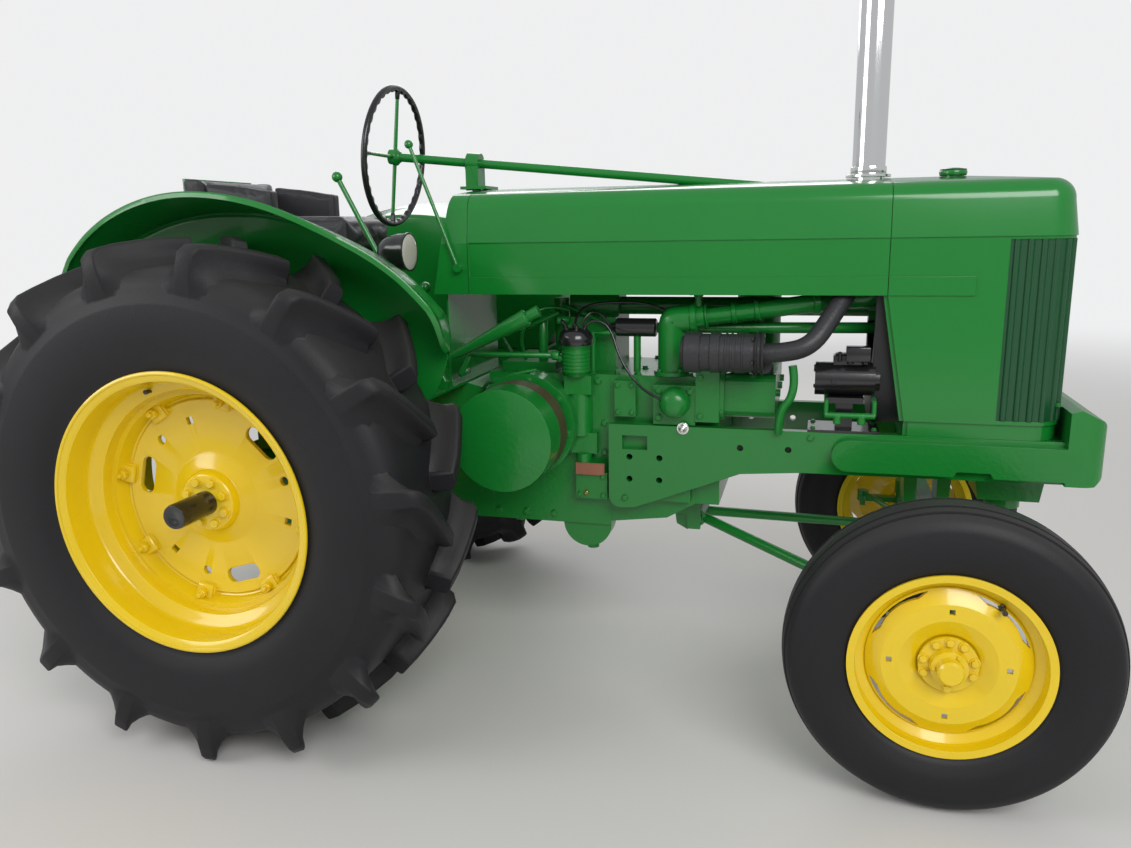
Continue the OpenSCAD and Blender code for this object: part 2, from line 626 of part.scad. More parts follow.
// The water pipe from the block's cast elbow to the radiator's upper tank.
module intake_pipe() {
    r = 28;
    elbow = [1258, -180, 1238];
    path = [elbow, [wheelbase - 345, -180, 1298], [wheelbase - 296, -105, 1300],
        [wheelbase - 170, -105, 1310], [wheelbase - 130, -105, 1520], [wheelbase - 72, -105, 1595]];
    color(green) from_axle() {
        bar_z(56, elbow[0], elbow[1], [1062, 1078]);
        bar_z(44, elbow[0], elbow[1], [1078, elbow[2]]);
        translate(elbow) sphere(48);
        for (i = [0:len(path) - 2]) rod(path[i], path[i + 1], r);
        for (i = [1:len(path) - 1]) translate(path[i]) sphere(r + 4);
        bar_x(r, [wheelbase - 72, wheelbase - 16], -105, 1595);
    }
}
module air_cleaner() {
    color(green) from_axle() {
        bar_z(78, 1500, 330, [1110, 1300]);
        bar_z(70, 1500, 330, [1090, 1110]);
        bar_z(30, 1500, 330, [1300, 1318]);
        rod([1500, 330, 1150], [1500, 180, 1150], 26);
        bar_z(30, 1500, 160, [1080, 1180]);
        box([1200, 1300], [200, 290], [960, 1040]);
        bar_z(36, 1250, 250, [rail_top + 8, 960]);
    }
}
module generator() {
    color(black) from_axle() {
        bar_x(51, [1706, 1880], -200, 1069);
        bar_x(40, [1880, 1894], -200, 1069);
        bar_x(8, [1894, 1912], -200, 1069);
    }
    color(green) from_axle() {
        box([1740, 1850], [-250, -150], [1000, 1017.7]);
        box([1770, 1820], [-230, -170], [rail_top, 1000]);
        box([1690, 1900], [-259, -120], [rail_top, rail_top + 8]);
    }
}
module distributor() {
    color(green) from_axle() {
        bar_z(46, 955, -240, [1080, 1165]);
        bar_z(34, 955, -240, [1066, 1080]);
        box([900, 1010], [-290, -110], [1062, 1066]);
    }
    color(black) from_axle() {
        bar_z(58, 955, -240, [1165, 1206]);
        bar_z(44, 955, -240, [1206, 1230]);
        bar_x(30, [1080, 1200], -150, 1212);
    }
    color(green) from_axle() box([1110, 1170], [-160, -140], [1062, 1183]);
}
module flywheel_cover() {
    color(green) from_axle() translate([crank_x, 0, crank_z]) {
        turned([[300, 0], [300, 168], [322, 176], [330, 196], [345, 205], [470, 205], [500, 180],
            [500, 60], [516, 52], [516, 0]]);
    }
}
module steering_column() {
    color(green) from_axle() difference() {
        union() {
            box([516, 562], [-34, 34], [hood_top - 30, 1745]);
            along_shaft() bar_x(34, [278, 324], 0, 0);
            box([505, 600], [-60, 60], [hood_top, hood_top + 10]);
        }
        along_shaft() bar_x(15 + bearing, [200, 400], 0, 0);
        cross_plate([400, 700], hood_outline(-gap, 1200));
    }
}
module platform() {
    color(green) from_axle() {
        box([-330, 560], [-fender_in, fender_in], [platform_z - 10, platform_z]);
        box([510, 516], [-236, 236], [platform_z, hood_low]);
        both_sides() box([-20, 20], [housing_end - 122, housing_end - 108],
            [rear_tyre_r + 88.3, platform_z - 10]);
    }
}
// The crown's outer edge in plan, from front to rear, moved out by t.
function crown_edge(t) = [for (p = [[746, -110], [700, -120], [650, -112], [600, -98], [550, -78],
    [470, -34], [400, -8], [330, 0], [-330, 0], [-520, -130], [-640, -210]])
        [p[0], fender_out + p[1] + t]];
module fenders() {
    in = fender_in;
    rear_end = [[-770, in]];
    color(green) from_axle() both_sides() translate([0, 0, rear_tyre_r]) {
        intersection() {
            bar_y(fender_r, 0, [in, in + fender_t], 0);
            side_plate([in - 1, in + fender_t + 1], [[588, 265], [600, 268], [625, 330], [655, 415],
                [700, 464], [760, 480], [760, 900], [-770, 900], [-770, 430], [-560, 265]]);
        }
        intersection() {
            crown_ring(0, 0);
            translate([0, 0, 300]) linear_extrude(700)
                polygon(concat([[770, in]], crown_edge(0), rear_end));
        }
        intersection() {
            crown_ring(4, 6);
            translate([0, 0, 300]) linear_extrude(700) polygon(concat(crown_edge(4),
                [for (i = [len(crown_edge(0)) - 1:-1:0]) crown_edge(-8)[i]]));
        }
    }
}
// The ring that the crown is cut from, thicker by out and into.
module crown_ring(out, into) {
    difference() {
        bar_y(fender_r + out, 0, [fender_in, fender_out + 10], 0);
        bar_y(fender_r - fender_t - into, 0, [fender_in - 1, fender_out + 11], 0);
    }
}
module seat_frame() {
    color(green) from_axle() {
        box([-320, -40], [-190, 190], [platform_z, 1400]);
        box([-490, 110], [-240, 240], [1448, 1460]);
        for (x = [-280, -100]) box([x, x + 40], [-150, 150], [1400, 1448]);
        box([-500, -490], [-200, 200], [1400, 1728]);
        box([-490, -280], [-30, 30], [1400, 1448]);
    }
}
module seat_cushion() {
    color(black) from_axle() side_plate([-178, 178], [[-398, 1460], [120, 1460], [134, 1500],
        [120, 1572], [-100, 1590], [-398, 1590]]);
}
module seat_back() {
    color(black) from_axle() difference() {
        side_plate([-245, 245], [[-489, 1460], [-489, 1723], [-266, 1700], [-112, 1640],
            [-100, 1610], [-100, 1460]]);
        box([-400, 0], [-180, 180], [1450, 1800]);
    }
}
module lamps() {
    both_sides() from_axle() {
        color(black) {
            bar_x(60, [440, 486], -450, 1469);
            intersection() {
                translate([440, -450, 1469]) sphere(59.5);
                box([370, 440], [-520, -380], [1400, 1540]);
            }
            bar_z(9, 425, -450, [1380, 1412]);
            bar_y(9, 425, [-fender_in, -441], 1380);
        }
        color(glass) bar_x(54, [486, 490], -450, 1469);
    }
}
module levers() {
    color(green) from_axle() {
        rod([548, -350, 1036], [199, -350, 1706], 8);
        translate([199, -350, 1706]) sphere(17);
        box([520, 558], [-370, -330], [platform_z, 1052]);
        bar_y(14, 574, [-291, -hood_y], 1412);
        rod([574, -283, 1412], [424, -283, 1803], 6);
        translate([424, -283, 1803]) sphere(14);
        rod([300, 0, 1036], [330, 0, 1330], 9);
        translate([330, 0, 1330]) sphere(20);
        bar_z(40, 300, 0, [platform_z, 1050]);
        both_sides() {
            rod([500, 440, 1036], [440, 440, 1130], 10);
            box([415, 450], [400, 480], [1120, 1132]);
        }
    }
}
module drawbar() {
    color(green) from_axle() {
        difference() {
            box([-drawbar_reach, -40], [-38, 38], [400, 432]);
            bar_z(14.5, -drawbar_reach + 40, 0, [399, 433]);
        }
        box([-90, -30], [-50, 50], [432, 500]);
        box([-330, -270], [-230, 230], [384, 400]);
        both_sides() box([-290, -250], [152, 190], [384, 760]);
    }
}

// Moving pieces
module rear_place() { from_axle() translate([0, -rear_y, rear_tyre_r]) children(); }
module front_place() {
    from_axle() translate([wheelbase, -front_y, front_tyre_r]) children();
}
module rear_tyre_right() { color(rubber) rear_place() rear_tyre(); }
module rear_tyre_left() { color(rubber) mirror([0, 1, 0]) rear_place() rear_tyre(); }
module rear_wheel_right() { color(yellow) rear_place() rear_wheel(); }
module rear_wheel_left() { color(yellow) mirror([0, 1, 0]) rear_place() rear_wheel(); }
module front_tyre_right() { color(rubber) front_place() front_tyre(); }
module front_tyre_left() { color(rubber) mirror([0, 1, 0]) front_place() front_tyre(); }
module front_wheel_right() { color(yellow) front_place() front_wheel(); }
module front_wheel_left() { color(yellow) mirror([0, 1, 0]) front_place() front_wheel(); }
arm_z = [470, 490];
pin_r = 10;
eye_r = 20;
module steer_arm(x) {
    box([x - steer_arm_l, x], [-18, 18], arm_z);
    bar_z(20, x - steer_arm_l, 0, arm_z);
    bar_z(pin_r, x - steer_arm_l, 0, [arm_z[0] - 20, arm_z[1] + 20]);
}
module knuckle() {
    color(green) from_axle() {
        bar_z(kingpin_r, wheelbase, -kingpin_y, [312, 572]);
        bar_z(40, wheelbase, -kingpin_y, [354, 506]);
        translate([0, -kingpin_y, 0]) steer_arm(wheelbase);
        bar_y(30, wheelbase, [-front_y + 61, -kingpin_y], front_tyre_r);
        bar_y(stub_r, wheelbase, [-front_y - 78, -kingpin_y], front_tyre_r);
    }
}
module knuckle_right() { knuckle(); }
module knuckle_left() { mirror([0, 1, 0]) knuckle(); }
module tie_rod(side) {
    z = side > 0 ? arm_z[1] + 10.5 : arm_z[0] - 10.5;
    a = [wheelbase + spindle_ahead - steer_arm_l, 0, z];
    b = [wheelbase - steer_arm_l, side * kingpin_y, z];
    color(green) from_axle() difference() {
        union() {
            rod(a, b, tie_rod_r - 2);
            for (p = [a, b]) bar_z(eye_r, p[0], p[1], [z - 9, z + 9]);
        }
        for (p = [a, b]) bar_z(pin_r + joint_play, p[0], p[1], [z - 30, z + 30]);
    }
}
module tie_rod_left() { tie_rod(1); }
module tie_rod_right() { tie_rod(-1); }
module steering_arm() {
    x = wheelbase + spindle_ahead;
    color(green) from_axle() {
        bar_z(24, x, 0, [462, 738]);
        bar_z(36, x, 0, [462, 500]);
        steer_arm(x);
    }
}
module steering_wheel() {
    color(black) from_axle() along_shaft() rotate([0, 90, 0]) {
        rotate_extrude($fn = 96) translate([wheel_r, 0]) circle(11, $fn = 24);
        cylinder(r = 30, h = 44, center = true);
        for (i = [0:3]) rotate(i * 90) rotate([0, 90, 0])
            cylinder(r = 7, h = wheel_r);
    }
    color(green) from_axle() along_shaft() bar_x(15, [0, 1560], 0, 0);
}
module belt_pulley() {
    color(green) from_axle() translate([crank_x, 0, crank_z]) difference() {
        union() {
            turned([[-334, 0], [-334, pulley_r - 3], [-334 - pulley_w / 2, pulley_r],
                [-334 - pulley_w, pulley_r - 3], [-334 - pulley_w, pulley_r - 14],
                [-326 - pulley_w, pulley_r - 18], [-326 - pulley_w, 0]]);
            bar_y(28, 0, [-340, -160], 0);
        }
    }
}
module fan() {
    color(dark) from_axle() translate([0, 0, 1270]) {
        bar_x(12, [1720, 2022], 0, 0);
        bar_x(34, [1896, 2012], 0, 0);
        for (i = [0:3]) rotate([i * 90, 0, 0]) translate([1998, 0, 30]) rotate([0, 0, 28])
            translate([-3, -32, 0]) cube([6, 64, 168]);
    }
}

transmission_case();
axle_housings();
crankcase();
cylinder_block();
cylinder_head();
frame_rails();
front_bolster();
front_axle();
hood();
cowl();
nose_shell();
grille();
radiator();
exhaust_manifold();
exhaust_stack();
intake_pipe();
air_cleaner();
generator();
distributor();
flywheel_cover();
steering_column();
platform();
fenders();
seat_frame();
seat_cushion();
seat_back();
lamps();
levers();
drawbar();
rear_tyre_left();
rear_wheel_left();
rear_tyre_right();
rear_wheel_right();
front_tyre_left();
front_wheel_left();
front_tyre_right();
front_wheel_right();
knuckle_left();
knuckle_right();
tie_rod_left();
tie_rod_right();
steering_arm();
steering_wheel();
belt_pulley();
fan();
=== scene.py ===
# %% [markdown]
# # Dressing a vintage farm tractor
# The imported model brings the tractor's castings, sheet metal and wheels at their real size. This lesson adds
# what paint, rubber and small fittings bring: finishes, tread, bolts, wires and upholstery. Everything is in
# metres, +X is forward, +Z is up and the tractor's right-hand side is at -Y.

import json
import math

import bpy
import bmesh
from mathutils import Matrix, Vector


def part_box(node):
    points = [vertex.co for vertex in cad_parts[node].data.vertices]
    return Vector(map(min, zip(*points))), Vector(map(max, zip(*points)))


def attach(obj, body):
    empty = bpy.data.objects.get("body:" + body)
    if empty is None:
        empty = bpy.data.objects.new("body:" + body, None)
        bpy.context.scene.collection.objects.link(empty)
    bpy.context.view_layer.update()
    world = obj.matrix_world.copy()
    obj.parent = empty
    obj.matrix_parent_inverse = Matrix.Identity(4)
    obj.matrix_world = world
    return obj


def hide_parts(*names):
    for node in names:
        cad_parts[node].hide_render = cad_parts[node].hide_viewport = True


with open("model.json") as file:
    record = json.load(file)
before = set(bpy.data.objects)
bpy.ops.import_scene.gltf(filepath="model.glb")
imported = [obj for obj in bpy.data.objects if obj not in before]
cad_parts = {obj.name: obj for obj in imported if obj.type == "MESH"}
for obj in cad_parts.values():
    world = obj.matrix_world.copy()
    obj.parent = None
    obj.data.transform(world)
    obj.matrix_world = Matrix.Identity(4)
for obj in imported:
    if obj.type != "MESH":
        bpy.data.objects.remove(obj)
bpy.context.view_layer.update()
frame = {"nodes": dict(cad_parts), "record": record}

# %% [markdown]
# The wheels' boxes give the axles, which most places on a tractor are measured from. A function that turns
# "ahead of the rear axle, to the left, above the floor" into a place in the frame keeps every later number
# a size that could be taken from the real machine with a tape.

# %% Axles and places
def middle(node):
    low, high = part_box(node)
    return (low + high) / 2


REAR_AXLE = Vector((middle("rear_wheel_right").x, 0, middle("rear_wheel_right").z))
FRONT_AXLE = Vector((middle("front_wheel_right").x, 0, middle("front_wheel_right").z))


def place(ahead, left, up):
    return Vector((REAR_AXLE.x + ahead, left, up))


print("Rear axle", REAR_AXLE, "front axle", FRONT_AXLE)

# %% [markdown]
# The camera stands where the photographer stood: a little over three metres to the right of the tractor, at
# chest height, turned a little to the rear and tilted down. Yaw, pitch and roll are separate turns, so the
# camera's matrix is their product, which is easier to check than three mixed Euler angles.

# %% Camera
CAMERA_PLACE = Vector((0.8475, -3.051, 1.539))
CAMERA_YAW, CAMERA_PITCH, CAMERA_ROLL = (math.radians(angle) for angle in (15.662, 12.371, -1.027))
CAMERA_LENS = 28.72

bpy.ops.object.camera_add(location=CAMERA_PLACE)
camera = bpy.context.object
camera.name = "Camera"
camera.data.lens = CAMERA_LENS
camera.data.sensor_width = 36
turns = (
    Matrix.Rotation(CAMERA_YAW, 4, "Z")
    @ Matrix.Rotation(math.pi / 2 - CAMERA_PITCH, 4, "X")
    @ Matrix.Rotation(CAMERA_ROLL, 4, "Z")
)
camera.matrix_world = Matrix.Translation(CAMERA_PLACE) @ turns
bpy.context.scene.camera = camera
print("Camera at", CAMERA_PLACE)

# %% [markdown]
# The studio is a wide pale floor, a white sky and three large soft lamps. Shader nodes make the floor and the
# sky. They are all added the same way: a node's settings come first, because they decide which sockets it
# has, and then its values and links.

# %% A helper for shader nodes
def node_in(tree, kind, inputs=None, **settings):
    """Adds a shader node. An input is given a value, or another node's output to take it from."""
    made = tree.nodes.new("ShaderNode" + kind)
    for setting, value in settings.items():
        setattr(made, setting, value)
    for socket, value in (inputs or {}).items():
        if isinstance(value, bpy.types.NodeSocket):
            tree.links.new(value, made.inputs[socket])
        else:
            made.inputs[socket].default_value = value
    return made


def nothing_selected():
    if bpy.context.object and bpy.context.object.mode != "OBJECT":
        bpy.ops.object.mode_set(mode="OBJECT")
    bpy.ops.object.select_all(action="DESELECT")


# %% [markdown]
# The floor is so wide that its edge is never seen. Near the tractor it has its own colour and takes the
# shadow. Further out it fades into the sky's white, for the lens only, so that there is no horizon.

# %% Floor
FLOOR_SIZE = 240
FADE_START, FADE_END = 3.0, 13.0
FLOOR_COLOUR = (0.74, 0.73, 0.71, 1)
FLOOR_ROUGHNESS = 0.6
SKY_SEEN = (0.86, 0.865, 0.87, 1)

nothing_selected()
bpy.ops.mesh.primitive_plane_add(size=FLOOR_SIZE)
floor = bpy.context.object
floor.name = "floor"
floor_finish = bpy.data.materials.new("floor")
floor_finish.use_nodes = True
floor_tree = floor_finish.node_tree
floor_shader = floor_tree.nodes["Principled BSDF"]
floor_shader.inputs["Base Color"].default_value = FLOOR_COLOUR
floor_shader.inputs["Roughness"].default_value = FLOOR_ROUGHNESS
floor_where = node_in(floor_tree, "TexCoord").outputs["Object"]
from_middle = node_in(floor_tree, "VectorMath", {0: floor_where}, operation="LENGTH")
fade = node_in(
    floor_tree, "MapRange", {"Value": from_middle.outputs["Value"], "From Min": FADE_START, "From Max": FADE_END},
    interpolation_type="SMOOTHSTEP",
)
camera_ray = node_in(floor_tree, "LightPath").outputs["Is Camera Ray"]
for_lens = node_in(floor_tree, "Math", {0: fade.outputs["Result"], 1: camera_ray}, operation="MULTIPLY")
backdrop = node_in(floor_tree, "Emission", {"Color": SKY_SEEN})
blend = node_in(
    floor_tree, "MixShader", {"Fac": for_lens.outputs[0], 1: floor_shader.outputs[0], 2: backdrop.outputs[0]},
)
floor_tree.links.new(blend.outputs[0], floor_tree.nodes["Material Output"].inputs["Surface"])
floor.data.materials.append(floor_finish)
print("Floor:", FLOOR_SIZE, "metres wide")

# %% [markdown]
# The sky fills the shadows under the hood. The sky that the lens sees is brighter than the one that lights
# the tractor, which keeps the colours as they are written, and gloss paint and chrome mirror a greyer one.

# %% Sky
SKY_LIGHT = 0.50
SKY_MIRRORED = (0.50, 0.51, 0.53, 1)

world = bpy.data.worlds.new("studio")
bpy.context.scene.world = world
world.use_nodes = True
sky = world.node_tree
sky.nodes.clear()
ray = node_in(sky, "LightPath")
lit = node_in(sky, "Background", {"Strength": SKY_LIGHT})
seen = node_in(sky, "Background", {"Color": SKY_SEEN})
in_gloss = node_in(sky, "Background", {"Color": SKY_MIRRORED})
by_gloss = node_in(
    sky, "MixShader", {"Fac": ray.outputs["Is Glossy Ray"], 1: lit.outputs[0], 2: in_gloss.outputs[0]},
)
chosen = node_in(
    sky, "MixShader", {"Fac": ray.outputs["Is Camera Ray"], 1: by_gloss.outputs[0], 2: seen.outputs[0]},
)
node_in(sky, "OutputWorld", {"Surface": chosen.outputs[0]})
print("Sky's strength on the tractor:", SKY_LIGHT)

# %% [markdown]
# Gloss paint shows the shape of what lights it, so the lamps are large and soft, as in a car studio. They
# give the hood long smooth highlights.

# %% Lamps
SOFT_LAMPS = [
    # name, place, aimed at, size in metres, watts
    ("Key", (3.4, -5.2, 4.6), (0.4, 0, 0.9), (4.0, 3.0), 250),
    ("Fill", (-4.6, -3.6, 3.0), (-0.5, 0, 0.9), (3.0, 3.0), 100),
    ("Back", (-1.0, 5.0, 4.4), (0.2, 0, 0.9), (5.0, 3.0), 120),
]
for name, spot, target, (wide, high), watts in SOFT_LAMPS:
    bpy.ops.object.light_add(type="AREA", location=spot)
    lamp = bpy.context.object
    lamp.name = name
    lamp.data.shape = "RECTANGLE"
    lamp.data.size = wide
    lamp.data.size_y = high
    lamp.data.energy = watts
    lamp.rotation_euler = (Vector(target) - Vector(spot)).to_track_quat("-Z", "Y").to_euler()
bpy.context.scene.view_settings.view_transform = "Standard"
print("Studio:", len(SOFT_LAMPS), "lamps")

# %% [markdown]
# Every finish starts as the same short recipe: a colour that drifts a little over the surface, a fine bump,
# and a Bevel node that catches light along edges as thick paint does. A casting's skin is coarse and a
# pressed panel's is nearly smooth, so the recipe takes the bump's grain and depth as arguments.

# %% A recipe for finishes
EDGE_RADIUS = 0.0022
BUMP_HEIGHT = 0.004
COAT_ROUGHNESS = 0.06
RUBBER_GLOSS = 0.28
DUST_COLOUR = (0.30, 0.28, 0.25, 1)
CLOUDS = {"Scale": 3.2, "Detail": 6}


def finish(name, colour, roughness, drift=0.12, grain=90, depth=0.05, coat=0.0, metallic=0.0, dust=0.0):
    """A painted, bare or rubber surface. Dust, from 0 to 1, lies on what faces up."""
    material = bpy.data.materials.new(name)
    material.use_nodes = True
    tree = material.node_tree
    shader = tree.nodes["Principled BSDF"]
    shader.inputs["Metallic"].default_value = metallic
    shader.inputs["Coat Weight"].default_value = coat
    shader.inputs["Coat Roughness"].default_value = COAT_ROUGHNESS
    if dust:
        shader.inputs["Specular IOR Level"].default_value = RUBBER_GLOSS
    where = node_in(tree, "TexCoord").outputs["Object"]

    clouds = node_in(tree, "TexNoise", {"Vector": where, **CLOUDS}).outputs["Fac"]
    darker = [c * (1 - drift) for c in colour] + [1]
    paler = [min(1, c * (1 + drift)) for c in colour] + [1]
    shades = node_in(tree, "Mix", {"Factor": clouds, "A": darker, "B": paler}, data_type="RGBA")
    shown = shades.outputs["Result"]
    if dust:
        facing = node_in(tree, "SeparateXYZ", {0: node_in(tree, "NewGeometry").outputs["Normal"]})
        lying = node_in(tree, "MapRange", {"Value": facing.outputs["Z"], "From Min": 0.2, "To Max": dust})
        dusty = node_in(
            tree, "Mix", {"Factor": lying.outputs["Result"], "A": shown, "B": DUST_COLOUR}, data_type="RGBA",
        )
        shown = dusty.outputs["Result"]
    tree.links.new(shown, shader.inputs["Base Color"])

    sheen = node_in(tree, "MapRange", {"Value": clouds, "To Min": roughness * 0.85, "To Max": roughness * 1.15})
    tree.links.new(sheen.outputs["Result"], shader.inputs["Roughness"])

    skin = node_in(tree, "TexNoise", {"Vector": where, "Scale": grain, "Detail": 3}).outputs["Fac"]
    edges = node_in(tree, "Bevel", {"Radius": EDGE_RADIUS}, samples=4).outputs["Normal"]
    bump = node_in(tree, "Bump", {"Strength": depth, "Distance": BUMP_HEIGHT, "Height": skin, "Normal": edges})
    tree.links.new(bump.outputs["Normal"], shader.inputs["Normal"])
    return material


# %% [markdown]
# The colours come from the kind of paint each piece wears. Green enamel covers castings and sheet alike, but the
# castings keep the sand's texture. The grille wears the same enamel, drawn a darker green as painted shade for the
# shadow that falls on it. The wheels are a warm yellow, rubber is nearly black and a little dusty where it faces up,
# and the stack is polished chrome.

# %% The tractor's finishes
GREEN = (0.007, 0.205, 0.026)
FINISHES = {
    "green_casting": finish("green_casting", GREEN, 0.30, grain=70, depth=0.22, coat=0.2),
    "green_sheet": finish("green_sheet", GREEN, 0.20, drift=0.06, grain=35, depth=0.03, coat=0.35),
    # The grille's darker green is painted shade: the same enamel, darkened for the shadow that falls on it.
    "green_grille": finish("green_grille", (0.005, 0.075, 0.022), 0.34, coat=0.2),
    "radiator_black": finish("radiator_black", (0.012, 0.013, 0.013), 0.55),
    "exhaust_black": finish("exhaust_black", (0.028, 0.028, 0.031), 0.42, grain=120, depth=0.3),
    "stack_chrome": finish("stack_chrome", (0.88, 0.88, 0.86), 0.09, drift=0.03, depth=0.01, metallic=1),
    "gloss_black": finish("gloss_black", (0.012, 0.012, 0.013), 0.22, coat=0.5),
    "seat_vinyl": finish("seat_vinyl", (0.020, 0.020, 0.023), 0.42, grain=420, depth=0.35),
    "tyre_rubber": finish("tyre_rubber", (0.013, 0.013, 0.015), 0.52, drift=0.3, grain=180, depth=0.16, dust=0.10),
    "wheel_yellow": finish("wheel_yellow", (0.81, 0.57, 0.004), 0.26, drift=0.04, grain=45, depth=0.05, coat=0.6),
    "grip_black": finish("grip_black", (0.010, 0.010, 0.011), 0.28, coat=0.3),
}


def painted(piece, finish_name):
    """Gives a piece one finish in place of what it has."""
    piece.data.materials.clear()
    piece.data.materials.append(FINISHES[finish_name])


for entry in frame["record"]["subparts"]:
    painted(frame["nodes"][entry["node"]], entry["material_slot"])
print("Finishes:", len(FINISHES))

# %% [markdown]
# An operator acts on all that is selected, so each step first selects one piece and nothing else. Faces are
# picked in code, by the place of their middle. A modifier is applied at once, so each piece ends as plain
# mesh, and faces are made to point outwards after the doubles are merged.

# %% Helpers for one piece
def only(piece):
    """Selects one piece alone and makes it the active one."""
    nothing_selected()
    piece.select_set(True)
    bpy.context.view_layer.objects.active = piece


def edit(piece):
    """Opens a piece in edit mode with all of it selected."""
    only(piece)
    bpy.ops.object.mode_set(mode="EDIT")
    bpy.ops.mesh.select_mode(type="VERT")
    bpy.ops.mesh.select_all(action="SELECT")


def pick(piece, test, kind="VERT"):
    """Selects the vertices or faces whose middle passes the test, in edit mode."""
    bpy.ops.mesh.select_mode(type=kind)
    bpy.ops.mesh.select_all(action="DESELECT")
    shape = bmesh.from_edit_mesh(piece.data)
    if kind == "VERT":
        parts = [(v, v.co) for v in shape.verts]
    else:
        parts = [(f, f.calc_center_median()) for f in shape.faces]
    for part, spot in parts:
        if test(spot):
            part.select_set(True)
    shape.select_flush(True)
    bmesh.update_edit_mesh(piece.data)


def facing_out(piece, merge=0):
    """Merges points that are closer than a distance, and turns all faces outwards."""
    edit(piece)
    if merge:
        bpy.ops.mesh.remove_doubles(threshold=merge)
    bpy.ops.mesh.normals_make_consistent(inside=False)
    bpy.ops.object.mode_set(mode="OBJECT")
    return piece


def applied(piece, kind, **settings):
    """Adds a modifier with its settings and applies it."""
    only(piece)
    modifier = piece.modifiers.new(kind.lower(), kind)
    for setting, value in settings.items():
        setattr(modifier, setting, value)
    bpy.ops.object.modifier_apply(modifier=modifier.name)
    return piece


def bevelled(piece, width, segments=2, angle=35):
    """Rounds the edges that are sharper than an angle."""
    return applied(
        piece, "BEVEL", width=width, segments=segments, limit_method="ANGLE", angle_limit=math.radians(angle),
    )


def put(piece, spot, turn=Matrix()):
    """Turns a piece's mesh about the origin and moves it to a place."""
    piece.data.transform(Matrix.Translation(spot) @ turn)
    return piece


# %% [markdown]
# Most round pieces here are turned: a wheel maker gives a profile and spins it. The same works in edit mode.
# A plane merged to one vertex is extruded along the profile and the line is spun about the axle. Closed rings
# need their last column merged with the first. Pressed panels and lugs start as a grid instead, whose points
# are each put in place, and fittings start as a block.

# %% Turned profiles, grids and blocks
def turned(profile, steps=96, closed=False):
    """Spins (along Y, radius) points about the Y axis."""
    nothing_selected()
    along, radius = profile[0]
    bpy.ops.mesh.primitive_plane_add(size=0.01, location=(0, 0, 0))
    piece = bpy.context.object
    edit(piece)
    bpy.ops.mesh.merge(type="CENTER")
    bpy.ops.transform.translate(value=(0, along, radius))
    points = profile[1:] + (profile[:1] if closed else [])
    for (y0, r0), (y1, r1) in zip(profile, points):
        bpy.ops.mesh.extrude_vertices_move(TRANSFORM_OT_translate={"value": (0, y1 - y0, r1 - r0)})
    bpy.ops.mesh.select_all(action="SELECT")
    bpy.ops.mesh.remove_doubles(threshold=1e-6)
    bpy.ops.mesh.spin(steps=steps, angle=math.tau, center=(0, 0, 0), axis=(0, 1, 0))
    return facing_out(piece, 1e-5)


def both_halves(half):
    """A profile that is the same on both sides of a wheel's middle plane, from its half."""
    return [(-across, radius) for across, radius in half] + list(reversed(half))


def sheet_grid(columns, rows, where):
    """A grid whose point in column i and row j is put at where(i, j)."""
    nothing_selected()
    bpy.ops.mesh.primitive_grid_add(x_subdivisions=columns - 1, y_subdivisions=rows - 1, size=1)
    piece = bpy.context.object
    for vertex in piece.data.vertices:
        i = round((vertex.co.x + 0.5) * (columns - 1))
        j = round((vertex.co.y + 0.5) * (rows - 1))
        vertex.co = where(i, j)
    return piece


def block(size, centre=(0, 0, 0)):
    """A box, left in edit mode to be shaped further."""
    nothing_selected()
    bpy.ops.mesh.primitive_cube_add(size=1, location=centre)
    piece = bpy.context.object
    edit(piece)
    bpy.ops.transform.resize(value=size)
    return piece


def raised(piece, test, margin, move):
    """In edit mode, insets the faces that pass the test and moves their middles, as on pressed sheet."""
    pick(piece, test, "FACE")
    bpy.ops.mesh.inset(thickness=margin, depth=0)
    bpy.ops.mesh.extrude_region_move(TRANSFORM_OT_translate={"value": move})
    bpy.ops.object.mode_set(mode="OBJECT")
    return piece


# %% [markdown]
# What repeats is modelled once and copied, each copy with its own mesh, and what is alike on both sides of
# the tractor is mirrored. Every finished piece gets its place in its mesh, its paint, the body that it rides
# on and the slot that its finish comes from.

# %% Copies and finished pieces
def copied(piece, matrix):
    twin = piece.copy()
    twin.data = piece.data.copy()
    bpy.context.scene.collection.objects.link(twin)
    twin.data.transform(matrix)
    return twin


def mirrored(piece):
    """The same piece for the other side of the tractor."""
    twin = copied(piece, Matrix.Scale(-1, 4, (0, 1, 0)))
    twin.data.flip_normals()
    return twin


def joined(pieces):
    nothing_selected()
    for piece in pieces:
        piece.select_set(True)
    bpy.context.view_layer.objects.active = pieces[0]
    bpy.ops.object.join()
    return bpy.context.object


def done(piece, name, body, slot, stands_for=(), smooth=38):
    """Finishes a piece. It is smooth where faces meet at less than an angle in degrees."""
    only(piece)
    bpy.ops.object.transform_apply(location=True, rotation=True, scale=True)
    bpy.ops.object.shade_smooth_by_angle(angle=math.radians(smooth))
    piece.name = piece.data.name = name
    painted(piece, slot)
    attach(piece, body)
    if stands_for:
        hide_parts(*stands_for)
    print(name, len(piece.data.polygons), "faces")
    return piece


def both_sides(piece, name, wheel, slot, node=None, smooth=38):
    """Finishes a piece of the right wheel and its mirrored twin on the left one."""
    for side, half in (("right", piece), ("left", mirrored(piece))):
        stands_for = [f"{node}_{side}"] if node else ()
        done(half, f"{name}_{side}", f"{wheel}_{side}", slot, stands_for, smooth)


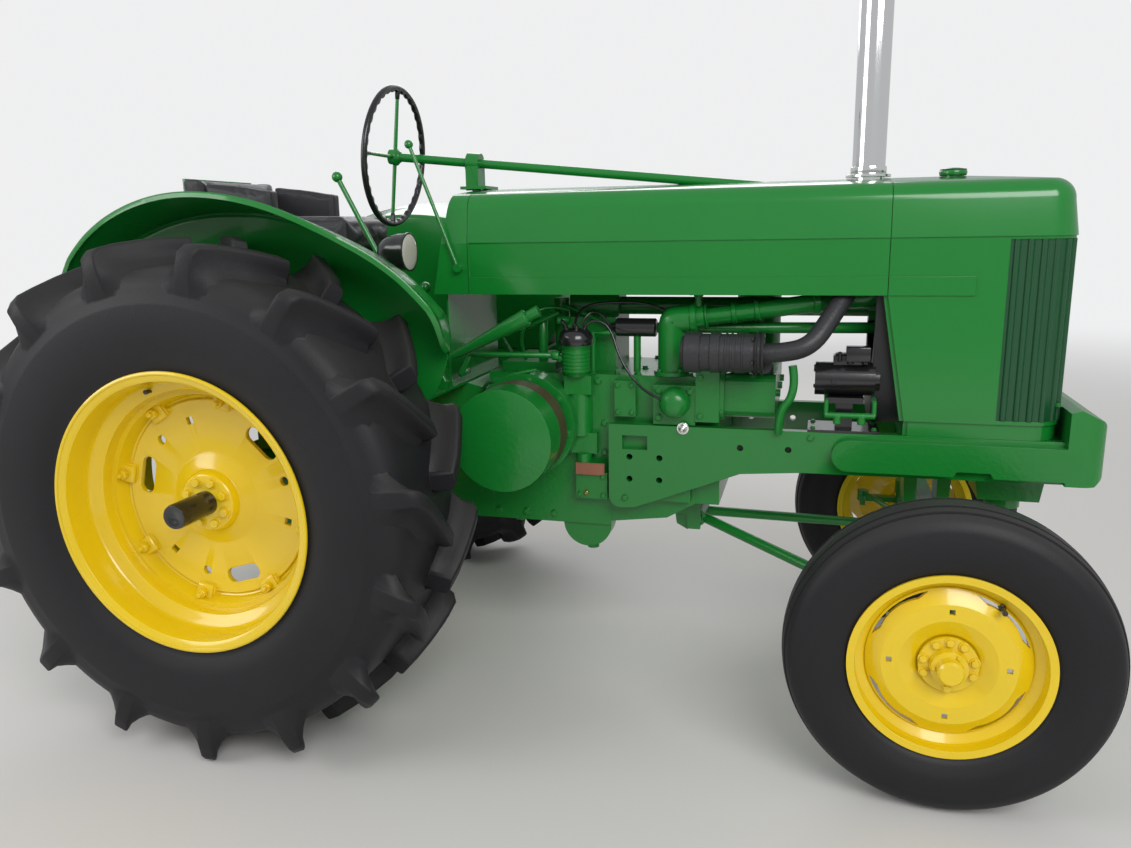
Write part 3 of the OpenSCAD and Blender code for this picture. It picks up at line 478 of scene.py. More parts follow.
# %% [markdown]
# The rear tyre's carcass is a spun profile: a bead, a rim guard, a bulging sidewall and a flat crown. Its
# lugs stand on it as separate wedges, wide and hollow-flanked at the foot. Each could be an outline that is
# extruded in steps, but a grid is easier to steer: its rows run from the middle of the tread to the shoulder
# while they turn about the axle, and then drop down the sidewall as a buttress. One face closes it below.

# %% Rear tyres
TYRE_LOW, TYRE_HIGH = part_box("rear_tyre_right")
REAR_R = REAR_AXLE.z
REAR_HALF = (TYRE_HIGH.y - TYRE_LOW.y) / 2
REAR_WHEEL_Y = (TYRE_HIGH.y + TYRE_LOW.y) / 2
LUGS_A_SIDE = 15
LUG_START = math.radians(10)
LUG_SWEEP = math.radians(13)
LUG_HEIGHT = 0.072
TREAD_R = REAR_R - LUG_HEIGHT
REAR_SIDEWALL = [  # from the middle plane, radius
    (REAR_HALF - 0.031, 0.394),
    (REAR_HALF - 0.029, 0.418),
    (REAR_HALF - 0.024, 0.430),
    (REAR_HALF - 0.013, 0.452),
    (REAR_HALF - 0.006, 0.480),
    (REAR_HALF - 0.002, 0.515),
    (REAR_HALF - 0.001, 0.555),
    (REAR_HALF - 0.003, 0.590),
    (REAR_HALF - 0.004, 0.598),
    (REAR_HALF - 0.0075, 0.603),
    (REAR_HALF - 0.012, 0.632),
    (REAR_HALF - 0.024, 0.660),
    (REAR_HALF - 0.046, 0.680),
    (REAR_HALF - 0.082, 0.688),
    (REAR_HALF - 0.140, TREAD_R),
]
LUG_ROWS = [  # across and radius of the top, across and radius of the foot, foot's half width, part of the sweep
    (0.006, TREAD_R - 0.010, 0.004, TREAD_R - 0.015, 0.050, 1.00),
    (0.016, REAR_R - 0.002, 0.014, TREAD_R - 0.015, 0.060, 1.00),
    (0.060, REAR_R, 0.060, TREAD_R - 0.015, 0.080, 0.76),
    (0.105, REAR_R - 0.001, 0.105, TREAD_R - 0.018, 0.088, 0.48),
    (0.150, REAR_R - 0.003, 0.148, TREAD_R - 0.030, 0.098, 0.20),
    (REAR_HALF - 0.026, REAR_R - 0.008, 0.172, 0.650, 0.122, 0.05),
    (REAR_HALF - 0.008, REAR_R - 0.026, 0.182, 0.625, 0.132, 0.00),
    (REAR_HALF - 0.002, REAR_R - 0.062, 0.189, 0.608, 0.136, 0.00),
    (REAR_HALF - 0.003, 0.652, 0.193, 0.597, 0.128, 0.00),
    (REAR_HALF - 0.014, 0.604, 0.188, 0.585, 0.095, 0.00),
]
LUG_FLANK = [  # part of the height, half width as a part of the foot's, half width in metres
    (0.00, 1.00, 0), (0.10, 0.78, 0), (0.25, 0.55, 0), (0.45, 0.38, 0),
    (0.70, 0, 0.029), (0.90, 0, 0.0245), (0.97, 0, 0.022), (1.00, 0, 0.017),
]


def on_lug(i, j):
    """A point of the lug: row i runs from the middle to the sidewall, j over the lug from foot to foot."""
    top, top_r, foot, foot_r, wide, part = LUG_ROWS[i]
    side = 1 if j < len(LUG_FLANK) else -1
    height, share, metres = LUG_FLANK[min(j, 2 * len(LUG_FLANK) - 1 - j)]
    radius = foot_r + height * (top_r - foot_r)
    angle = part * LUG_SWEEP + side * (share * wide + metres) / radius
    return (radius * math.sin(angle), -foot - height * (top - foot), radius * math.cos(angle))


def lug():
    piece = sheet_grid(len(LUG_ROWS), 2 * len(LUG_FLANK), on_lug)
    edit(piece)
    bpy.ops.mesh.region_to_loop()
    bpy.ops.mesh.edge_face_add()
    bpy.ops.mesh.select_mode(type="FACE")
    bpy.ops.mesh.quads_convert_to_tris()
    bpy.ops.mesh.select_all(action="SELECT")
    bpy.ops.mesh.normals_make_consistent(inside=False)
    bpy.ops.object.mode_set(mode="OBJECT")
    return piece


lugs = [turned(both_halves(REAR_SIDEWALL), steps=144)]
right_lug = lug()
left_lug = mirrored(right_lug)
for number in range(LUGS_A_SIDE):
    for model, stagger in ((right_lug, 0), (left_lug, 0.5)):
        angle = LUG_START + (number + stagger) * math.tau / LUGS_A_SIDE
        lugs.append(copied(model, Matrix.Rotation(angle, 4, "Y")))
for model in (right_lug, left_lug):
    bpy.data.objects.remove(model)
tyre = put(joined(lugs), (REAR_AXLE.x, REAR_WHEEL_Y, REAR_AXLE.z))
both_sides(tyre, "rear_tyre_tread", "rear", "tyre_rubber", "rear_tyre", smooth=44)

# %% [markdown]
# The front tyre is a plain ribbed tyre: its sidewall swells past the rim, a thin band runs round the shoulder
# and two grooves on each side part the ribs. All of that is in the profile, so one spin makes it, and there
# is no lug to copy.

# %% Front tyres
FRONT_LOW, FRONT_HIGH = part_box("front_tyre_right")
FRONT_R = FRONT_AXLE.z
FRONT_HALF = (FRONT_HIGH.y - FRONT_LOW.y) / 2
FRONT_WHEEL_Y = (FRONT_HIGH.y + FRONT_LOW.y) / 2
FRONT_SIDEWALL = [  # from the middle plane, radius
    (0.0755, 0.2385),
    (0.078, 0.2565),
    (0.084, 0.262),
    (0.088, 0.272),
    (0.0965, 0.292),
    (0.1015, 0.312),
    (FRONT_HALF - 0.0002, 0.334),
    (0.1025, 0.352),
    (0.100, 0.364),
    (0.0995, 0.370),
    (0.0965, 0.378),
    (0.091, 0.390),
    (0.083, 0.399),
    (0.073, 0.4045),
    (0.066, 0.4075),
    (0.0632, 0.401),
    (0.0602, 0.401),
    (0.058, 0.4125),
    (0.048, 0.4155),
    (0.040, 0.4170),
    (0.0375, 0.4045),
    (0.0285, 0.4045),
    (0.026, 0.4178),
    (0.012, FRONT_R - 0.0008),
]
front_tyre = turned(both_halves(FRONT_SIDEWALL), steps=128)
put(front_tyre, (FRONT_AXLE.x, FRONT_WHEEL_Y, FRONT_AXLE.z))
both_sides(front_tyre, "front_tyre_ribbed", "front", "tyre_rubber", "front_tyre", smooth=42)

# %% [markdown]
# Bolts hold everything on a machine like this, and painted bolts are what the eye takes for scale. One head
# with its washer is modelled at a size of one, a hexagon whose corners are taken off, and then copied to each
# place in a table, scaled to its size and turned to face outwards. Copies on one body become one piece.

# %% Bolts
OUTWARDS = Vector((0, -1, 0))
BACKWARDS = Vector((-1, 0, 0))
UP = Vector((0, 0, 1))


def towards(direction, spot=(0, 0, 0), size=1.0):
    """Turns a piece's +Z to a direction, at a place and a size."""
    turn = Vector(direction).to_track_quat("Z", "Y").to_matrix().to_4x4()
    return Matrix.Translation(Vector(spot)) @ turn @ Matrix.Scale(size, 4)


def prism(sides, radius, depth, up, edge):
    """An upright prism with its middle at a height and its edges taken off."""
    nothing_selected()
    bpy.ops.mesh.primitive_cylinder_add(vertices=sides, radius=radius, depth=depth, location=(0, 0, up))
    return bevelled(bpy.context.object, edge, segments=1)


def at_places(model, rows):
    """Copies a piece to (place, direction, size) rows and joins the copies."""
    return joined([copied(model, towards(direction, spot, size)) for spot, direction, size in rows])


BOLT = joined([prism(6, 0.5, 0.42, 0.31, 0.06), prism(16, 0.66, 0.12, 0.05, 0.03)])  # head, washer
NUT = joined([prism(6, 0.5, 0.5, 0.25, 0.06), prism(12, 0.26, 0.95, 0.47, 0.05)])  # nut, stud
for model in (BOLT, NUT):
    only(model)
    bpy.ops.object.transform_apply(location=True, rotation=True, scale=True)
print("Bolt", len(BOLT.data.polygons), "faces, nut", len(NUT.data.polygons), "faces")


def round_axle(axle, across, radius, angle):
    """A place on a wheel: along the axle, out from it, and an angle from the top."""
    angle = math.radians(angle)
    return Vector((axle.x + radius * math.sin(angle), across, axle.z + radius * math.cos(angle)))


# %% [markdown]
# The rear wheel's disc is held inside the rim by eight clamps, each with a stud and a nut, and its hub is
# bolted round a black axle end that stands well out of the wheel, because the wheels can slide along it to
# change the track. A short valve comes through the rim.

# %% Rear wheels' fittings
DISC_OUT = 0.028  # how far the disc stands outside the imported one
WHEEL_FACE = REAR_WHEEL_Y + 0.022 - DISC_OUT
CLAMP_R, HUB_BOLTS_R = 0.304, 0.0655
CLAMP_ANGLES = [12 + 45 * number for number in range(8)]
HUB_ANGLES = [22 + 45 * number for number in range(8)]
clamps = []
for angle in CLAMP_ANGLES:
    clamp = block((0.052, 0.016, 0.056))
    pick(clamp, lambda spot: spot.z < -0.01 and spot.y < 0)
    bpy.ops.transform.translate(value=(0, 0.006, 0.006))
    bevelled(clamp, 0.004)
    turn = Matrix.Rotation(math.radians(angle), 4, "Y")
    clamps.append(put(clamp, round_axle(REAR_AXLE, WHEEL_FACE - 0.018, CLAMP_R, angle), turn))
nuts = at_places(NUT, [
    (round_axle(REAR_AXLE, WHEEL_FACE - 0.026, CLAMP_R, angle), OUTWARDS, 0.030) for angle in CLAMP_ANGLES
])
hub_bolts = at_places(BOLT, [
    (round_axle(REAR_AXLE, WHEEL_FACE - 0.049, HUB_BOLTS_R, angle), OUTWARDS, 0.028) for angle in HUB_ANGLES
])
both_sides(joined(clamps + [nuts, hub_bolts]), "rear_wheel_clamps", "rear", "wheel_yellow", smooth=30)

AXLE_END = [  # along the axle from the hub's face, radius
    (0.004, 0.0002), (0.004, 0.0366), (-0.135, 0.0366), (-0.142, 0.034), (-0.1425, 0.017), (-0.140, 0.013),
    (-0.140, 0.0002),
]
axle_end = put(turned(AXLE_END, steps=48), (REAR_AXLE.x, WHEEL_FACE - 0.050, REAR_AXLE.z))
both_sides(axle_end, "axle_end", "rear", "gloss_black", smooth=35)

VALVE = [
    (0.0, 0.0002), (0.0, 0.009), (-0.016, 0.009), (-0.018, 0.0055), (-0.040, 0.0055), (-0.041, 0.007),
    (-0.050, 0.007), (-0.051, 0.0002),
]
valve = put(turned(VALVE, steps=16), round_axle(REAR_AXLE, REAR_WHEEL_Y - 0.060, 0.356, -20))
both_sides(valve, "rear_valve", "rear", "gloss_black")

# %% [markdown]
# On the front wheel a ring of bolts surrounds the hub, and the bearing's cover has its own small bolts. The
# holes between them belong to other fixings, so the ring isn't evenly filled.

# %% Front wheels' fittings
RING_ANGLES = [0, -32, 32, -78, 78, -112, 112, 180]
COVER_ANGLES = [30, 150, 270]
ring = at_places(BOLT, [
    (round_axle(FRONT_AXLE, FRONT_WHEEL_Y - 0.0615, 0.0635, angle), OUTWARDS, 0.021) for angle in RING_ANGLES
])
cover = at_places(BOLT, [
    (round_axle(FRONT_AXLE, FRONT_WHEEL_Y - 0.0875, 0.0395, angle), OUTWARDS, 0.011) for angle in COVER_ANGLES
])
both_sides(joined([ring, cover]), "front_hub_bolts", "front", "wheel_yellow", smooth=30)
front_valve = put(turned(VALVE, steps=16), round_axle(FRONT_AXLE, FRONT_WHEEL_Y - 0.030, 0.200, 36))
both_sides(front_valve, "front_valve", "front", "gloss_black")

# %% [markdown]
# The steering wheel's rim is moulded with finger bumps along its inner side. A torus gives the rim, and every
# other pair of rings of its inner side is drawn towards the middle. Its four spokes are thin green bars that go into
# black sleeves at the rim, and the long shaft that runs over the hood is the same green.

# %% Steering wheel and shaft
STEER_HUB = place(0.238, 0, 1.789)
SHAFT_SLOPE = math.radians(6.07)
RIM_R, RIM_WIRE = 0.232, 0.0105
ALONG_SHAFT = (
    Matrix.Translation(STEER_HUB)
    @ Matrix.Rotation(SHAFT_SLOPE, 4, "Y")
    @ Matrix.Rotation(math.pi / 2, 4, "Y")
)


def bar(start, end, radius, end_radius=None, sides=20, edge=0.0015):
    """A round bar or taper between two places, with its ends' edges taken off."""
    start, end = Vector(start), Vector(end)
    nothing_selected()
    bpy.ops.mesh.primitive_cone_add(
        vertices=sides, radius1=radius, radius2=radius if end_radius is None else end_radius,
        depth=(end - start).length, location=(0, 0, 0),
    )
    piece = bpy.context.object
    bevelled(piece, min(edge, radius * 0.3), segments=1, angle=50)
    piece.data.transform(towards(end - start, (start + end) / 2))
    return piece


SPOKE_ANGLES = [math.radians(90 * number) for number in range(4)]
SPOKE_END, SLEEVE_START = 0.200, 0.194
SHAFT_LENGTH, SHAFT_R = 1.558, 0.0149
BUMP_SCALE = 0.978


def on_circle(radius, angle, up=0):
    return Vector((radius * math.cos(angle), radius * math.sin(angle), up))


def inner_bump(spot):
    """Every other pair of the torus's rings, on its inner side."""
    ring_number = round((math.degrees(math.atan2(spot.y, spot.x)) % 360) / 2.5)
    return math.hypot(spot.x, spot.y) < RIM_R - 0.006 and ring_number % 4 in (0, 1)


nothing_selected()
bpy.ops.mesh.primitive_torus_add(
    major_radius=RIM_R, minor_radius=RIM_WIRE, major_segments=144, minor_segments=16
)
rim = bpy.context.object
edit(rim)
pick(rim, inner_bump)
bpy.ops.transform.resize(value=(BUMP_SCALE, BUMP_SCALE, 1), center_override=(0, 0, 0))
bpy.ops.object.mode_set(mode="OBJECT")
sleeves = [bar(on_circle(SLEEVE_START, a), on_circle(RIM_R, a), 0.0075, 0.010) for a in SPOKE_ANGLES]
grip = joined([rim] + sleeves)
grip.data.transform(ALONG_SHAFT)
done(grip, "steering_grip", "steer_wheel", "grip_black", ["steering_wheel"], smooth=45)

spokes = [bar((0, 0, 0), on_circle(SPOKE_END, a), 0.0072, 0.0060) for a in SPOKE_ANGLES]
HUB_PROFILE = [
    (-0.024, 0.0002), (-0.024, 0.012), (-0.018, 0.026), (0.010, 0.029), (0.016, 0.022), (0.022, 0.018),
    (0.022, 0.0002),
]
hub = turned(HUB_PROFILE, steps=32)
hub.data.transform(Matrix.Rotation(math.pi / 2, 4, "X"))
shaft = bar((0, 0, 0), (0, 0, SHAFT_LENGTH), SHAFT_R, sides=32)
stem = joined(spokes + [hub, shaft])
stem.data.transform(ALONG_SHAFT)
done(stem, "steering_spokes_and_shaft", "steer_wheel", "green_sheet", ["steering_wheel"], smooth=40)

# %% [markdown]
# The work lamps are bullets of black sheet with a pale lens, each on a stalk from the fender. The shell is one
# turned profile, drawn along Y and then turned to look forward.

# %% Work lamps
LAMP_PLACE = place(0.486, -0.450, 1.469)
LAMP_SHELL = [
    (0.0, 0.0002), (0.0, 0.0595), (0.004, 0.0598), (0.010, 0.0575), (0.034, 0.0560), (0.062, 0.050),
    (0.085, 0.039), (0.098, 0.026), (0.103, 0.0002),
]
LAMP_LENS = [
    (0.006, 0.0002), (0.006, 0.0555), (0.0015, 0.0555), (-0.0010, 0.052), (-0.0032, 0.036), (-0.0038, 0.018),
    (-0.0040, 0.0002),
]
FORWARD = Matrix.Rotation(math.pi / 2, 4, "Z")

FINISHES["lamp_lens"] = finish("lamp_lens", (0.56, 0.51, 0.47), 0.16, drift=0.10, grain=160, depth=0.25, coat=0.6)
shell = put(turned(LAMP_SHELL, steps=64), LAMP_PLACE, FORWARD)
stalk = bar(place(0.425, -0.450, 1.380), place(0.425, -0.450, 1.418), 0.009)
arm = bar(place(0.425, -0.599, 1.380), place(0.425, -0.441, 1.380), 0.009)
lamp_right = joined([shell, stalk, arm])
both_lamps = joined([lamp_right, mirrored(lamp_right)])
done(both_lamps, "work_lamps", "chassis", "gloss_black", ["lamps"], smooth=40)
lens = put(turned(LAMP_LENS, steps=64), LAMP_PLACE, FORWARD)
lenses = done(joined([lens, mirrored(lens)]), "lamp_lenses", "chassis", "gloss_black", smooth=40)
painted(lenses, "lamp_lens")

# %% [markdown]
# Wires and thin pipes are the only loose-looking things on the engine. Each is a short curve through a few
# places, given a round section and turned into a mesh, and every end goes into something.

# %% Wires and pipes
def tube(points, radius, sides=3):
    """A round pipe along a smooth curve near its points."""
    path = bpy.data.curves.new("path", "CURVE")
    path.dimensions = "3D"
    path.bevel_depth = radius
    path.bevel_resolution = sides
    path.resolution_u = 6
    path.use_fill_caps = True
    line = path.splines.new("NURBS")
    line.points.add(len(points) - 1)
    for point, spot in zip(line.points, points):
        point.co = (*spot, 1)
    line.order_u = 3
    line.use_endpoint_u = True
    piece = bpy.data.objects.new("path", path)
    bpy.context.scene.collection.objects.link(piece)
    only(piece)
    bpy.ops.object.convert(target="MESH")
    return facing_out(bpy.context.object, 1e-6)


def route(*spots):
    """A pipe's points, each given ahead of the rear axle, to the left and above the floor."""
    return [place(*spot) for spot in spots]


# %% [markdown]
# The ignition unit is a ribbed green body with a black cap whose towers take the plug wires. Both are round,
# so each is a turned profile, and the body's ribs come from a loop because they are all alike. The cap is
# moulded plastic, so it is a piece of its own with four small towers, next to the coil.

# %% Ignition unit
CAP = place(0.955, -0.240, 1.165)
UPRIGHT = Matrix.Rotation(math.pi / 2, 4, "X")
RIBS, RIB_STEP = 6, 0.012
PLUG_WIRE = 0.0042
BODY_PROFILE = [(-0.103, 0.0002), (-0.103, 0.034), (-0.098, 0.036), (-0.090, 0.044)]
for rib in range(RIBS):
    BODY_PROFILE += [
        (back + rib * RIB_STEP, radius) for back, radius in ((-0.086, 0.0475), (-0.082, 0.0475), (-0.080, 0.0445))
    ]
BODY_PROFILE += [(-0.010, 0.046), (-0.004, 0.052), (0.0, 0.052), (0.0, 0.0002)]
CAP_PROFILE = [
    (0.0, 0.0002), (0.0, 0.056), (0.006, 0.058), (0.024, 0.057), (0.040, 0.050), (0.050, 0.036), (0.054, 0.016),
    (0.054, 0.0002),
]
ignition_body = put(turned(BODY_PROFILE, steps=40), CAP, UPRIGHT)
foot_plate = bar(place(0.955, -0.200, 1.0625), place(0.955, -0.200, 1.0665), 0.060, sides=8)
coil_clip = bar(place(1.140, -0.150, 1.064), place(1.140, -0.150, 1.184), 0.012)
green_parts = joined([ignition_body, foot_plate, coil_clip])
done(green_parts, "ignition_body", "chassis", "green_casting", ["distributor"], smooth=40)

cap = put(turned(CAP_PROFILE, steps=40), CAP, UPRIGHT)
towers = [
    bar(CAP + on_circle(0.030, a, 0.040), CAP + on_circle(0.032, a, 0.062), 0.008)
    for a in (math.radians(90 * number + 20) for number in range(4))
]
coil = bar(place(1.070, -0.150, 1.212), place(1.204, -0.150, 1.212), 0.030, sides=32, edge=0.004)
coil_cap = bar(place(1.050, -0.150, 1.212), place(1.072, -0.150, 1.212), 0.012, 0.020)
black_parts = joined([cap, coil, coil_cap] + towers)
done(black_parts, "ignition_cap_and_coil", "chassis", "gloss_black", ["distributor"], smooth=40)

WIRE_RUNS = [
    # from the cap's middle, then from place to place
    (((0.030, 0.010, 0.058), (0.050, 0.015, 0.082), (0.110, 0.020, 0.060)),
     ((1.10, -0.245, 1.120), (1.17, -0.262, 1.030), (1.245, -0.290, 1.000), (1.262, -0.298, 0.994))),
    (((0.010, 0.030, 0.058), (0.030, 0.040, 0.100)),
     ((1.02, -0.170, 1.262), (1.045, -0.152, 1.225), (1.054, -0.150, 1.213))),
    (((-0.010, 0.030, 0.058), (-0.012, 0.060, 0.100)),
     ((1.00, -0.130, 1.292), (1.20, -0.110, 1.290), (1.30, -0.130, 1.200), (1.345, -0.150, 1.100),
      (1.37, -0.160, 1.086))),
    (((-0.030, -0.008, 0.058), (-0.052, -0.004, 0.086), (-0.050, 0.060, 0.060)),
     ((0.910, -0.150, 1.150), (0.900, -0.110, 1.100))),
]
plug_wires = [
    tube([CAP + Vector(spot) for spot in from_cap] + route(*onwards), PLUG_WIRE) for from_cap, onwards in WIRE_RUNS
]
done(joined(plug_wires), "plug_wires", "chassis", "gloss_black", smooth=60)

# %% [markdown]
# The generator is a black drum between two end plates, with its terminal box on top. Turned steps at both ends
# give the plates, a block with a raised lid gives the box, and the heads of the long bolts are copies.

# %% Generator
GEN_PROFILE = [
    (0.0, 0.0002), (0.0, 0.030), (-0.004, 0.043), (-0.018, 0.0505), (-0.022, 0.0505), (-0.024, 0.0485),
    (-0.060, 0.0485), (-0.062, 0.0505), (-0.066, 0.0505), (-0.068, 0.0485), (-0.150, 0.0485),
    (-0.152, 0.0508), (-0.168, 0.0508), (-0.174, 0.046), (-0.174, 0.0395), (-0.188, 0.0395),
    (-0.188, 0.020), (-0.205, 0.0075), (-0.206, 0.0002),
]
drum = put(turned(GEN_PROFILE, steps=48), place(1.706, -0.200, 1.069), FORWARD)
box_top = block((0.085, 0.050, 0.030), place(1.800, -0.205, 1.128))
bevelled(raised(box_top, lambda spot: spot.z > 0, 0.006, (0, 0, 0.006)), 0.003)
gen_bolts = at_places(BOLT, [
    (place(1.7080, -0.200 + dy, 1.069 + dz), BACKWARDS, 0.012)
    for dy, dz in ((0.030, 0.020), (-0.030, -0.020), (0.0, 0.036))
] + [(place(1.760, -0.2485, 1.067), OUTWARDS, 0.016)])
done(joined([drum, box_top, gen_bolts]), "generator_drum", "chassis", "gloss_black", smooth=35)

# %% [markdown]
# The exhaust leaves the engine through a ribbed cast collar, and clamps hold its heat shield. The ribs, the
# flanges and the clamps are rings with rolled edges, of one profile at different widths.

# %% Exhaust clamps
EXHAUST_LINE = (-0.330, 1.159)
EXHAUST_R = 0.057
TO_THE_REAR = Matrix.Rotation(-math.pi / 2, 4, "Z")


def ring_round(x, width, lip, radius=EXHAUST_R):
    """A ring on the exhaust's line that stands out by its lip."""
    profile = [
        (0.0, radius - 0.006), (0.0, radius + lip * 0.4), (lip * 0.6, radius + lip),
        (width - lip * 0.6, radius + lip), (width, radius + lip * 0.4), (width, radius - 0.006),
    ]
    return put(turned(profile, steps=48, closed=True), place(x, *EXHAUST_LINE), TO_THE_REAR)


exhaust_rings = [ring_round(1.322, 0.050, 0.005), ring_round(1.400, 0.030, 0.004)]
exhaust_rings += [ring_round(1.444 + 0.016 * number, 0.007, 0.0025) for number in range(4)]
exhaust_rings += [ring_round(1.530, 0.010, 0.010), ring_round(1.548, 0.010, 0.010)]
exhaust_bolts = at_places(BOLT, [
    (place(1.530, EXHAUST_LINE[0] + 0.061 * math.sin(a), EXHAUST_LINE[1] + 0.061 * math.cos(a)), BACKWARDS, 0.013)
    for a in (math.radians(angle) for angle in (-160, -110, -40))
])
done(joined(exhaust_rings + [exhaust_bolts]), "exhaust_clamps", "chassis", "exhaust_black", smooth=35)

# %% [markdown]
# The chrome stack is packed as it is, so only the clamp round its foot is added. The radiator's filler cap is
# a green pressed cap on a short neck. All three are turned profiles that are stood upright.

# %% Stack trim and radiator cap
STACK = middle("exhaust_stack")
STACK_FOOT = 1.678
STANDING = Matrix.Rotation(-math.pi / 2, 4, "X")
BAND_PROFILE = [(0.0, 0.044), (0.0, 0.0525), (0.003, 0.0535), (0.019, 0.0535), (0.022, 0.0525), (0.022, 0.044)]
band = put(turned(BAND_PROFILE, steps=64, closed=True), (STACK.x, 0, STACK_FOOT + 0.024), STANDING)
done(band, "stack_clamp", "chassis", "stack_chrome", smooth=40)

CAP_PLACE = place(2.085, 0, 1.6692)
FILLER_PROFILE = [
    (0.0, 0.0002), (0.0, 0.0385), (-0.004, 0.0400), (-0.010, 0.0400), (-0.014, 0.0385), (-0.018, 0.034),
    (-0.0215, 0.018), (-0.0225, 0.0002),
]
NECK_PROFILE = [(0.0, 0.0002), (0.0, 0.0312), (-0.020, 0.0312), (-0.020, 0.0002)]
filler = put(turned(FILLER_PROFILE, steps=24), CAP_PLACE, STANDING)
neck = put(turned(NECK_PROFILE, steps=32), CAP_PLACE + Vector((0, 0, -0.019)), STANDING)
done(joined([filler, neck]), "filler_cap", "chassis", "green_sheet", smooth=35)

# %% [markdown]
# The engine's right side is crowded with small controls: two tapered pipes that lean forward, the clutch rod
# beside the pulley, brackets, fuel lines and the governor's links. They are bars and tubes from tables, so a
# glance at a table shows what is where.

# %% Controls and lines on the right side
LEANING_PIPES = [
    # start, end, radius at the start and at the end, and for a soft end its sides and edge
    (place(0.560, -0.330, 1.128), place(0.806, -0.286, 1.256), 0.012, 0.029, 20, 0.012),
    (place(0.600, -0.300, 1.150), place(0.842, -0.270, 1.275), 0.010, 0.020),
]
CLUTCH_ROD = [
    (place(0.596, -0.262, 1.128), place(0.900, -0.262, 1.130), 0.0095, 0.0095),
    (place(0.880, -0.262, 1.130), place(0.905, -0.262, 1.130), 0.015, 0.015),
    (place(0.905, -0.262, 1.118), place(0.905, -0.230, 1.118), 0.010, 0.010),
    (place(0.600, -0.262, 1.128), place(0.560, -0.262, 1.060), 0.009, 0.009),
    (place(0.560, -0.262, 1.060), place(0.560, -0.190, 1.060), 0.011, 0.011),
]
GOVERNOR_LINKS = [
    (place(0.880, -0.112, 1.282), place(1.060, -0.140, 1.212), 0.006, 0.006),
    (place(0.860, -0.060, 1.110), place(0.860, -0.060, 1.300), 0.022, 0.026),
    (place(0.860, -0.130, 1.230), place(0.900, -0.112, 1.230), 0.014, 0.014),
    (place(0.800, -0.090, 1.090), place(0.800, -0.090, 1.240), 0.016, 0.016),
    (place(1.206, -0.150, 1.212), place(1.262, -0.150, 1.212), 0.017, 0.017),
    (place(1.258, -0.148, 1.212), place(1.880, -0.100, 1.214), 0.0175, 0.0175),
    (place(0.750, -0.110, 1.205), place(0.865, -0.110, 1.255), 0.009, 0.009),
    (place(0.990, -0.150, 1.062), place(0.990, -0.150, 1.196), 0.010, 0.010),
    (place(0.990, -0.150, 1.190), place(1.062, -0.150, 1.194), 0.008, 0.008),
]
bars = [bar(*row) for row in LEANING_PIPES + CLUTCH_ROD + GOVERNOR_LINKS]
FUEL_LINE_R, GOVERNOR_LINE_R = 0.0125, 0.006
green_lines = [
    tube(route(
        (1.640, -0.300, 1.120), (1.648, -0.300, 1.080), (1.640, -0.298, 1.020), (1.612, -0.290, 0.985),
        (1.604, -0.280, 0.930), (1.604, -0.270, 0.905),
    ), FUEL_LINE_R, 4),
    tube(route(
        (0.620, -0.215, 1.000), (0.640, -0.240, 1.030), (0.700, -0.280, 1.045), (0.760, -0.286, 1.072),
        (0.830, -0.270, 1.082),
    ), GOVERNOR_LINE_R),
    tube(route(
        (0.740, -0.100, 1.090), (0.735, -0.150, 1.150), (0.760, -0.180, 1.220), (0.830, -0.160, 1.290),
        (0.900, -0.110, 1.262),
    ), GOVERNOR_LINE_R),
]
done(joined(bars + green_lines), "engine_controls", "chassis", "green_casting", smooth=45)

# %% [markdown]
# The rail's two front holes are dark inside, but here the pale floor would show through them. A thin black disc
# closes each as painted shade, because the imported casting itself is never changed here.

# %% Painted shade in the rail's holes
# Each black disc is painted shade, standing for the dark inside a hole.
rail_hole_shade_discs = [
    bar(place(ahead, -0.246, up), place(ahead, -0.240, up), 0.0098)
    for ahead, up in ((1.488, 0.849), (1.635, 0.850))
]
done(joined(rail_hole_shade_discs), "rail_hole_painted_shade", "chassis", "radiator_black", smooth=40)

# %% [markdown]
# Covers and flanges are where a casting is bolted to the next, so rows of bolts run along them: round the
# crank housing, along the rail and the block, and on the nose casting and the generator's bracket. A table
# of places for each face is all they need, because the bolt itself is modelled already.

# %% Bolts along the castings
CRANK = (0.789, 0.900)


def bolts_round(centre, across, radius, angles, direction, size):
    return [
        (place(centre[0] + radius * math.sin(a), across, centre[1] + radius * math.cos(a)), direction, size)
        for a in (math.radians(angle) for angle in angles)
    ]


SIDE_BOLTS = [
    # to the left, size, then places ahead and up
    (-0.246, 0.020, [(1.228, 0.935), (1.228, 1.022), (1.328, 1.022), (1.360, 0.945), (1.360, 1.068)]),
    (-0.232, 0.016, [(1.092, 0.945), (1.138, 0.945), (1.092, 1.034), (1.138, 1.034)]),
    (-0.238, 0.016, [(0.962, 0.660), (1.042, 0.660), (1.042, 0.724)]),
    (-0.200, 0.020, [(0.660, 0.575), (0.760, 0.575), (0.860, 0.575), (1.020, 1.040), (1.040, 0.900),
                     (1.040, 0.800), (0.660, 1.030)]),
    (-0.248, 0.012, [(1.427, 0.962), (1.427, 1.056)]),
    (-0.260, 0.018, [(1.700, 0.892), (1.120, 0.664)]),
]
TOP_BOLTS = [
    # up, size, then places ahead and to the left
    (1.062, 0.020, [(x, y) for x in (1.080, 1.150, 1.320) for y in (-0.185, -0.060, 0.185)]),
    (1.0092, 0.018, [(2.380, -0.230), (2.380, 0.230)]),
    (0.918, 0.014, [(x, y) for x in (1.705, 1.885) for y in (-0.235, -0.140)]),
]
casting_bolts = bolts_round(CRANK, -0.300, 0.152, range(8, 368, 45), OUTWARDS, 0.020)
casting_bolts += [(place(x, y, z), OUTWARDS, size) for y, size, spots in SIDE_BOLTS for x, z in spots]
